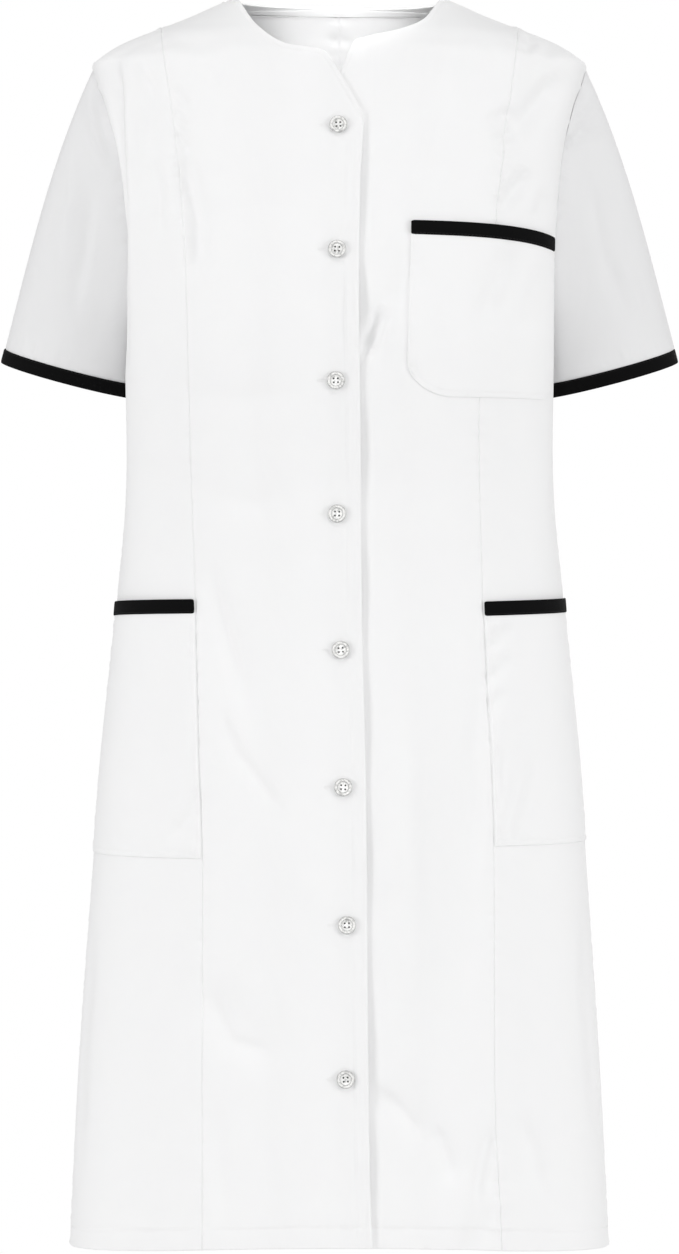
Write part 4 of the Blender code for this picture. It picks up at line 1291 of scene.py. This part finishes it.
def pocket_binding(node, place_at, mouth_at, lift_at):
    """Binding over a pocket's mouth, with its stitching."""
    between = np.linspace(END_SHARES[-1], 1 - END_SHARES[-1], 84)[1:-1]
    along = np.concatenate((END_SHARES, between, 1 - END_SHARES[::-1]))
    middle = mouth_at(along) - BINDING_WIDTH / 2
    under, ups = on_cloth(place_at(along, middle), middle)
    lower, _ = on_cloth(place_at(along, middle - 0.003), middle - 0.003)
    down = unit(lower - under)
    gape = lift_at(along, middle) * np.minimum(1, np.sin(pi * along) * 6)
    centres = under + ups * (gape + 0.0013)[:, None]
    short = np.clip(1 - np.minimum(along, 1 - along) / END_SHARES[-1], 0, 1)
    corner = 1 - END_ROUNDING * (1 - np.sqrt(1 - short**2))
    profile = rounded_profile(BINDING_WIDTH / 2, BINDING_HALF_THICKNESS) * corner[:, None, None]
    band = swept(node + "_tape", centres, down, ups, profile, BLACK)
    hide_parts(node)
    edge = centres + down * (BINDING_WIDTH / 2 - 0.0014) + ups * 0.0010
    return band, stitching(node + "_stitching", [(edge[1:-1], ups[1:-1])], BLACK_THREAD)


def pocket_stitching(outer, outs, stitched):
    """Lines of stitching beside the sides and foot of a pocket, where its grid lines lie."""
    k = STITCHED_EDGE.index(EDGE_STITCH)
    windows = {"first": np.s_[2:-k, k], "last": np.s_[2:-k, -1 - k], "foot": np.s_[-1 - k, 6:-6]}
    return [(outer[windows[edge]], outs[windows[edge]]) for edge in stitched]


def side_pocket(row):
    """Pocket that fills the side front from the princess seam to the side seam."""

    def place_at(share, height):
        seam = around_at_x(front_line(row.name + "_seam", height) + row.side * POCKET_INSET, height)
        return mix(seam, around_at_y(SIDE_SEAM_Y - POCKET_INSET, height, row.side), share)

    def lift_at(share, height):
        open_share = np.sin(pi * share) * fade(row.foot, row.mouth_inner, height) ** 2
        return POCKET_GAPE * open_share

    def mouth_at(share):
        return mix(row.mouth_inner, row.mouth_outer, share)

    def foot_at(share):
        return row.foot + 0 * share

    name = "side_pocket_" + row.name
    piece, lines = pocket(name, place_at, mouth_at, foot_at, lift_at, ("foot",))
    band, dark = pocket_binding("side_pocket_binding_" + row.name, place_at, mouth_at, lift_at)
    return piece, band, dark, stitching(name + "_stitching", lines, WHITE_THREAD)


def chest_pocket():
    """Patch pocket on the wearer's left, with rounded lower corners."""

    def place_at(share, height):
        inner_x = CHEST_INNER_X + CHEST_INNER_LEAN * np.minimum(height - CHEST_MOUTH_OUTER, 0.0)
        return mix(around_at_x(inner_x, height), around_at_y(CHEST_OUTER_Y, height, 1), share)

    def foot_at(share):
        foot = np.full(np.shape(share), CHEST_FOOT)
        for from_edge, radius in ((share, CHEST_INNER_RADIUS), (1 - share, CHEST_OUTER_RADIUS)):
            short = np.clip(radius - from_edge * CHEST_WIDTH, 0, radius)
            foot = foot + radius - np.sqrt(radius**2 - short**2)
        return foot

    def mouth_at(share):
        return mix(CHEST_MOUTH_INNER, CHEST_MOUTH_OUTER, share) + CHEST_MOUTH_BOW * np.sin(pi * share)

    def lift_at(share, height):
        return CHEST_GAPE * np.sin(pi * share) + 0 * height

    piece, lines = pocket("chest_pocket", place_at, mouth_at, foot_at, lift_at, ("first", "last", "foot"))
    band, dark = pocket_binding("chest_pocket_binding", place_at, mouth_at, lift_at)
    return piece, band, dark, stitching("chest_pocket_stitching", lines, WHITE_THREAD)


# ---- buttons and buttonholes ----
BUTTON_TURNS = (0.05, -0.07, 0.04, -0.03, 0.10, -0.06, 0.03, 0.08)  # as each was sewn on
BUTTON_SIDES = 64
BUTTON_GAP = 0.0002
BUTTON_WELL = 0.55  # height of the well's floor, as a share of the button's
BUTTON_PROFILE = (  # shares of the radius and of the height, from the well out and round to the back
    (0.0, BUTTON_WELL),
    (0.40, BUTTON_WELL),
    (0.56, BUTTON_WELL * 1.02),
    (0.62, BUTTON_WELL * 1.12),
    (0.66, 0.88),
    (0.72, 0.98),
    (0.80, 1.0),
    (0.88, 0.97),
    (0.95, 0.86),
    (0.99, 0.70),
    (1.0, 0.56),
    (0.98, 0.40),
    (0.88, 0.14),
    (0.74, 0.0),
    (0.0, 0.0),
)
HOLES_DRAWN_IN = 0.94  # their spacing along the thread, as a share of that across it
THREAD_OFFSET = 0.00022  # of the two threads of a pair
THREAD_REACH = 0.55
BUTTON_THREAD_RADIUS = 0.00016
HOLE_BEHIND = 0.0150  # reach of a buttonhole from its button's middle, away from the lapping edge
HOLE_AHEAD = 0.0030
HOLE_PITCH = 0.00046
HOLE_BAR = 0.0030
HOLE_THREAD_RADIUS = 0.00014


def button_disc():
    """Turned disc with a rounded rim and a sunk well."""
    profile = [(out * BUTTON_RADIUS, up * BUTTON_HEIGHT) for out, up in BUTTON_PROFILE]
    disc = bmesh.new()
    previous = None
    turns = np.linspace(0, 2 * pi, BUTTON_SIDES, endpoint=False)
    for out, up in profile:
        if out == 0.0:
            ring = [disc.verts.new((0, 0, up))] * BUTTON_SIDES
        else:
            ring = [disc.verts.new((out * np.cos(turn), out * np.sin(turn), up)) for turn in turns]
        if previous:
            for k in range(BUTTON_SIDES):
                following = (k + 1) % BUTTON_SIDES
                corners = [previous[k], ring[k], ring[following], previous[following]]
                disc.faces.new(list(dict.fromkeys(corners)))
        previous = ring
    bmesh.ops.recalc_face_normals(disc, faces=disc.faces)
    mesh = bpy.data.meshes.new("button_disc")
    disc.to_mesh(mesh)
    disc.free()
    mesh.materials.append(PEARL)
    return mesh


def button_pins():
    """What is drilled out of a button: four holes that narrow downwards."""
    pins = bmesh.new()
    reach = BUTTON_HOLE_SPACING / 2
    for x in (-reach, reach):
        for y in (-reach * HOLES_DRAWN_IN, reach * HOLES_DRAWN_IN):
            bmesh.ops.create_cone(
                pins,
                cap_ends=True,
                segments=20,
                radius1=BUTTON_HOLE_RADIUS * 0.82,
                radius2=BUTTON_HOLE_RADIUS * 0.95,
                depth=BUTTON_HEIGHT * 0.8,
                matrix=Matrix.Translation((x, y, BUTTON_HEIGHT * (BUTTON_WELL + 0.05))),
            )
    mesh = bpy.data.meshes.new("button_pins")
    pins.to_mesh(mesh)
    pins.free()
    # the holes' walls take the near-black painted shade
    mesh.materials.append(HOLE)
    return mesh


def button_mesh():
    """The disc with its holes drilled."""
    blank = placed_in_scene("button_blank", button_disc())
    drill = placed_in_scene("button_drill", button_pins())
    cut = blank.modifiers.new("holes", "BOOLEAN")
    cut.object = drill
    cut.solver = "EXACT"
    cut.material_mode = "TRANSFER"
    bpy.context.view_layer.update()
    graph = bpy.context.evaluated_depsgraph_get()
    drilled = bpy.data.meshes.new_from_object(blank.evaluated_get(graph))
    for made in (blank, drill):
        bpy.data.objects.remove(made, do_unlink=True)
    drilled.shade_smooth()
    drilled.set_sharp_from_angle(angle=0.7)
    return drilled


def button_thread(name, stand, out):
    """Two pairs of threads across a button's well."""
    reach = BUTTON_HOLE_SPACING / 2
    height = BUTTON_HEIGHT * BUTTON_WELL
    starts, ends, ups = [], [], []
    for x in (-reach, reach):
        for offset in (-THREAD_OFFSET, THREAD_OFFSET):
            starts.append(stand @ Vector((x + offset, -reach * THREAD_REACH, height)))
            ends.append(stand @ Vector((x + offset, reach * THREAD_REACH, height)))
            ups.append(out)
    joined = [np.array([tuple(v) for v in group]) for group in (starts, ends, ups)]
    return thread_bars(name, *joined, BUTTON_THREAD_RADIUS, WHITE_THREAD)


def buttons():
    """Each button a little proud of the cloth, its thread, and its hand-finished buttonhole."""
    mesh = button_mesh()
    for number, (row, turn) in enumerate(zip(BUTTONS, BUTTON_TURNS), start=1):
        points, outs = on_cloth(around_at_x(np.array([row.x]), np.array([row.z])), np.array([row.z]))
        out = Vector(outs[0])
        place = Vector(points[0]) + out * BUTTON_GAP
        stand = Matrix.Translation(place) @ out.to_track_quat("Z", "Y").to_matrix().to_4x4()
        stand = stand @ Matrix.Rotation(turn, 4, "Z")
        button = placed_in_scene(f"button_{number}_pearl", mesh.copy())
        button.matrix_world = stand
        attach(button, "root")
        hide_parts(f"button_{number}")
        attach(button_thread(f"button_{number}_thread", stand, out), "root")
        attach(buttonhole(f"buttonhole_{number}", row), "root")


def buttonhole(name, row):
    """Two rows of close stitches on each side of a level slit, with a bar at each end."""
    first = row.x - HOLE_BEHIND
    last = row.x + HOLE_AHEAD
    x = np.arange(first, last, HOLE_PITCH)
    spans = []
    for side in (-1, 1):
        inner = row.z + side * 0.00018 + 0 * x
        outer = row.z + side * 0.00145 + 0.00008 * np.sin(x * 9000)
        spans.append((x, inner, x + HOLE_PITCH * 0.4, outer, 0.00004))
    bars = np.array((first - 0.0003, first, last, last + 0.0003))
    spans.append((bars, row.z - HOLE_BAR / 2 + 0 * bars, bars, row.z + HOLE_BAR / 2 + 0 * bars, 0.00008))
    starts, ends, ups = [], [], []
    for start_x, start_z, end_x, end_z, lift in spans:
        start, up = on_cloth(around_at_x(start_x, start_z), start_z, WALL + lift)
        end, _ = on_cloth(around_at_x(end_x, end_z), end_z, WALL + lift)
        starts.append(start)
        ends.append(end)
        ups.append(up)
    joined = [np.concatenate(group) for group in (starts, ends, ups)]
    return thread_bars(name, *joined, HOLE_THREAD_RADIUS, WHITE_THREAD)


# ---- putting the dress together ----
def dress():
    for name, side in (("right", -1), ("left", 1)):
        piece, thread = side_front(name, side)
        cloth_piece("side_front_" + name, piece, [thread])
        piece = sleeve(name, side)
        band, thread = cuff_binding(name, side)
        cloth_piece("sleeve_" + name, piece, [band, thread])
    piece, thread = lapping_front()
    cloth_piece("front_right", piece, [thread])
    piece, thread = under_front()
    cloth_piece("front_left", piece, [thread])
    for name, side in (("right", -1), ("left", 1)):
        piece, thread = back_half(name, side)
        extras = [thread]
        if name == "right":
            extras.extend(back_neck_facing())
        cloth_piece("back_" + name, piece, extras)
    piece, band, dark, light = chest_pocket()
    cloth_piece("chest_pocket", piece, [band, dark, light])
    for row in SIDE_POCKETS:
        piece, band, dark, light = side_pocket(row)
        cloth_piece("side_pocket_" + row.name, piece, [band, dark, light])
    buttons()


dress()


# ---- floor, camera and light ----
AMBIENT = 0.52  # light from all round; the background itself is seen as white
FLOOR_HEIGHT = -1.32
FLOOR_RADIUS = 1.6
NECK_LIGHT_SPREAD = 0.115
NECK_LIGHT_BLEND = 0.5
CAMERA_LENS = 114.83
CAMERA_PLACE = (0, -3.4, -0.5049)

Lamp = namedtuple("Lamp", "name kind place aim size power")
LAMPS = (
    Lamp("softbox_left", "AREA", (-3.5, -1.7, -0.1), (0, 0, -0.50), 1.2, 46.0),
    Lamp("softbox_right", "AREA", (3.5, -1.7, -0.2), (0, 0, -0.50), 1.2, 46.0),
    Lamp("softbox_front", "AREA", (-0.2, -3.7, -0.2), (0, 0, -0.60), 1.2, 20.0),
    Lamp("softbox_top", "AREA", (0.0, -1.6, 2.4), (0, 0, -0.30), 1.6, 20.0),
    Lamp("softbox_behind", "AREA", (0.9, 3.2, 0.8), (0, 0, -0.45), 1.6, 38.0),
    Lamp("neck_light", "SPOT", (0.0, -1.5, 0.24), (0.0, 0.08, 0.045), 0.03, 90.0),
)


def lay_floor():
    disc = bpy.data.meshes.new("floor")
    turn = np.linspace(0, 2 * pi, 96, endpoint=False)
    rim = [(FLOOR_RADIUS * np.cos(t), FLOOR_RADIUS * np.sin(t), FLOOR_HEIGHT) for t in turn]
    disc.from_pydata(rim, [], [list(range(len(rim)))])
    disc.materials.append(plain_material("floor", (0.86, 0.86, 0.86), 0.9))
    placed_in_scene("floor", disc)


def light_studio():
    world = bpy.data.worlds.new("studio")
    world.use_nodes = True
    tree = world.node_tree
    background = tree.nodes["Background"]
    background.inputs["Color"].default_value = (1.0, 1.0, 1.0, 1.0)
    seen = shader_node(tree, "LightPath", {}).outputs["Is Camera Ray"]
    brightness = math_node(tree, "MULTIPLY_ADD", seen, 1.0 - AMBIENT, AMBIENT)
    tree.links.new(brightness, background.inputs["Strength"])
    bpy.context.scene.world = world
    for row in LAMPS:
        light = bpy.data.lights.new(row.name, row.kind)
        light.energy = row.power
        if row.kind == "SPOT":
            light.spot_size = NECK_LIGHT_SPREAD
            light.spot_blend = NECK_LIGHT_BLEND
            light.shadow_soft_size = row.size
        else:
            light.size = row.size
        lamp = placed_in_scene(row.name, light)
        lamp.location = row.place
        toward = Vector(row.aim) - Vector(row.place)
        lamp.rotation_euler = toward.to_track_quat("-Z", "Y").to_euler()


def set_camera():
    camera = bpy.data.cameras.new("camera")
    camera.lens = CAMERA_LENS
    camera.sensor_width = 36.0
    viewer = placed_in_scene("camera", camera)
    viewer.location = CAMERA_PLACE
    viewer.rotation_euler = (pi / 2, 0, 0)
    bpy.context.scene.camera = viewer


bpy.context.scene.view_settings.view_transform = "Standard"
lay_floor()
light_studio()
set_camera()
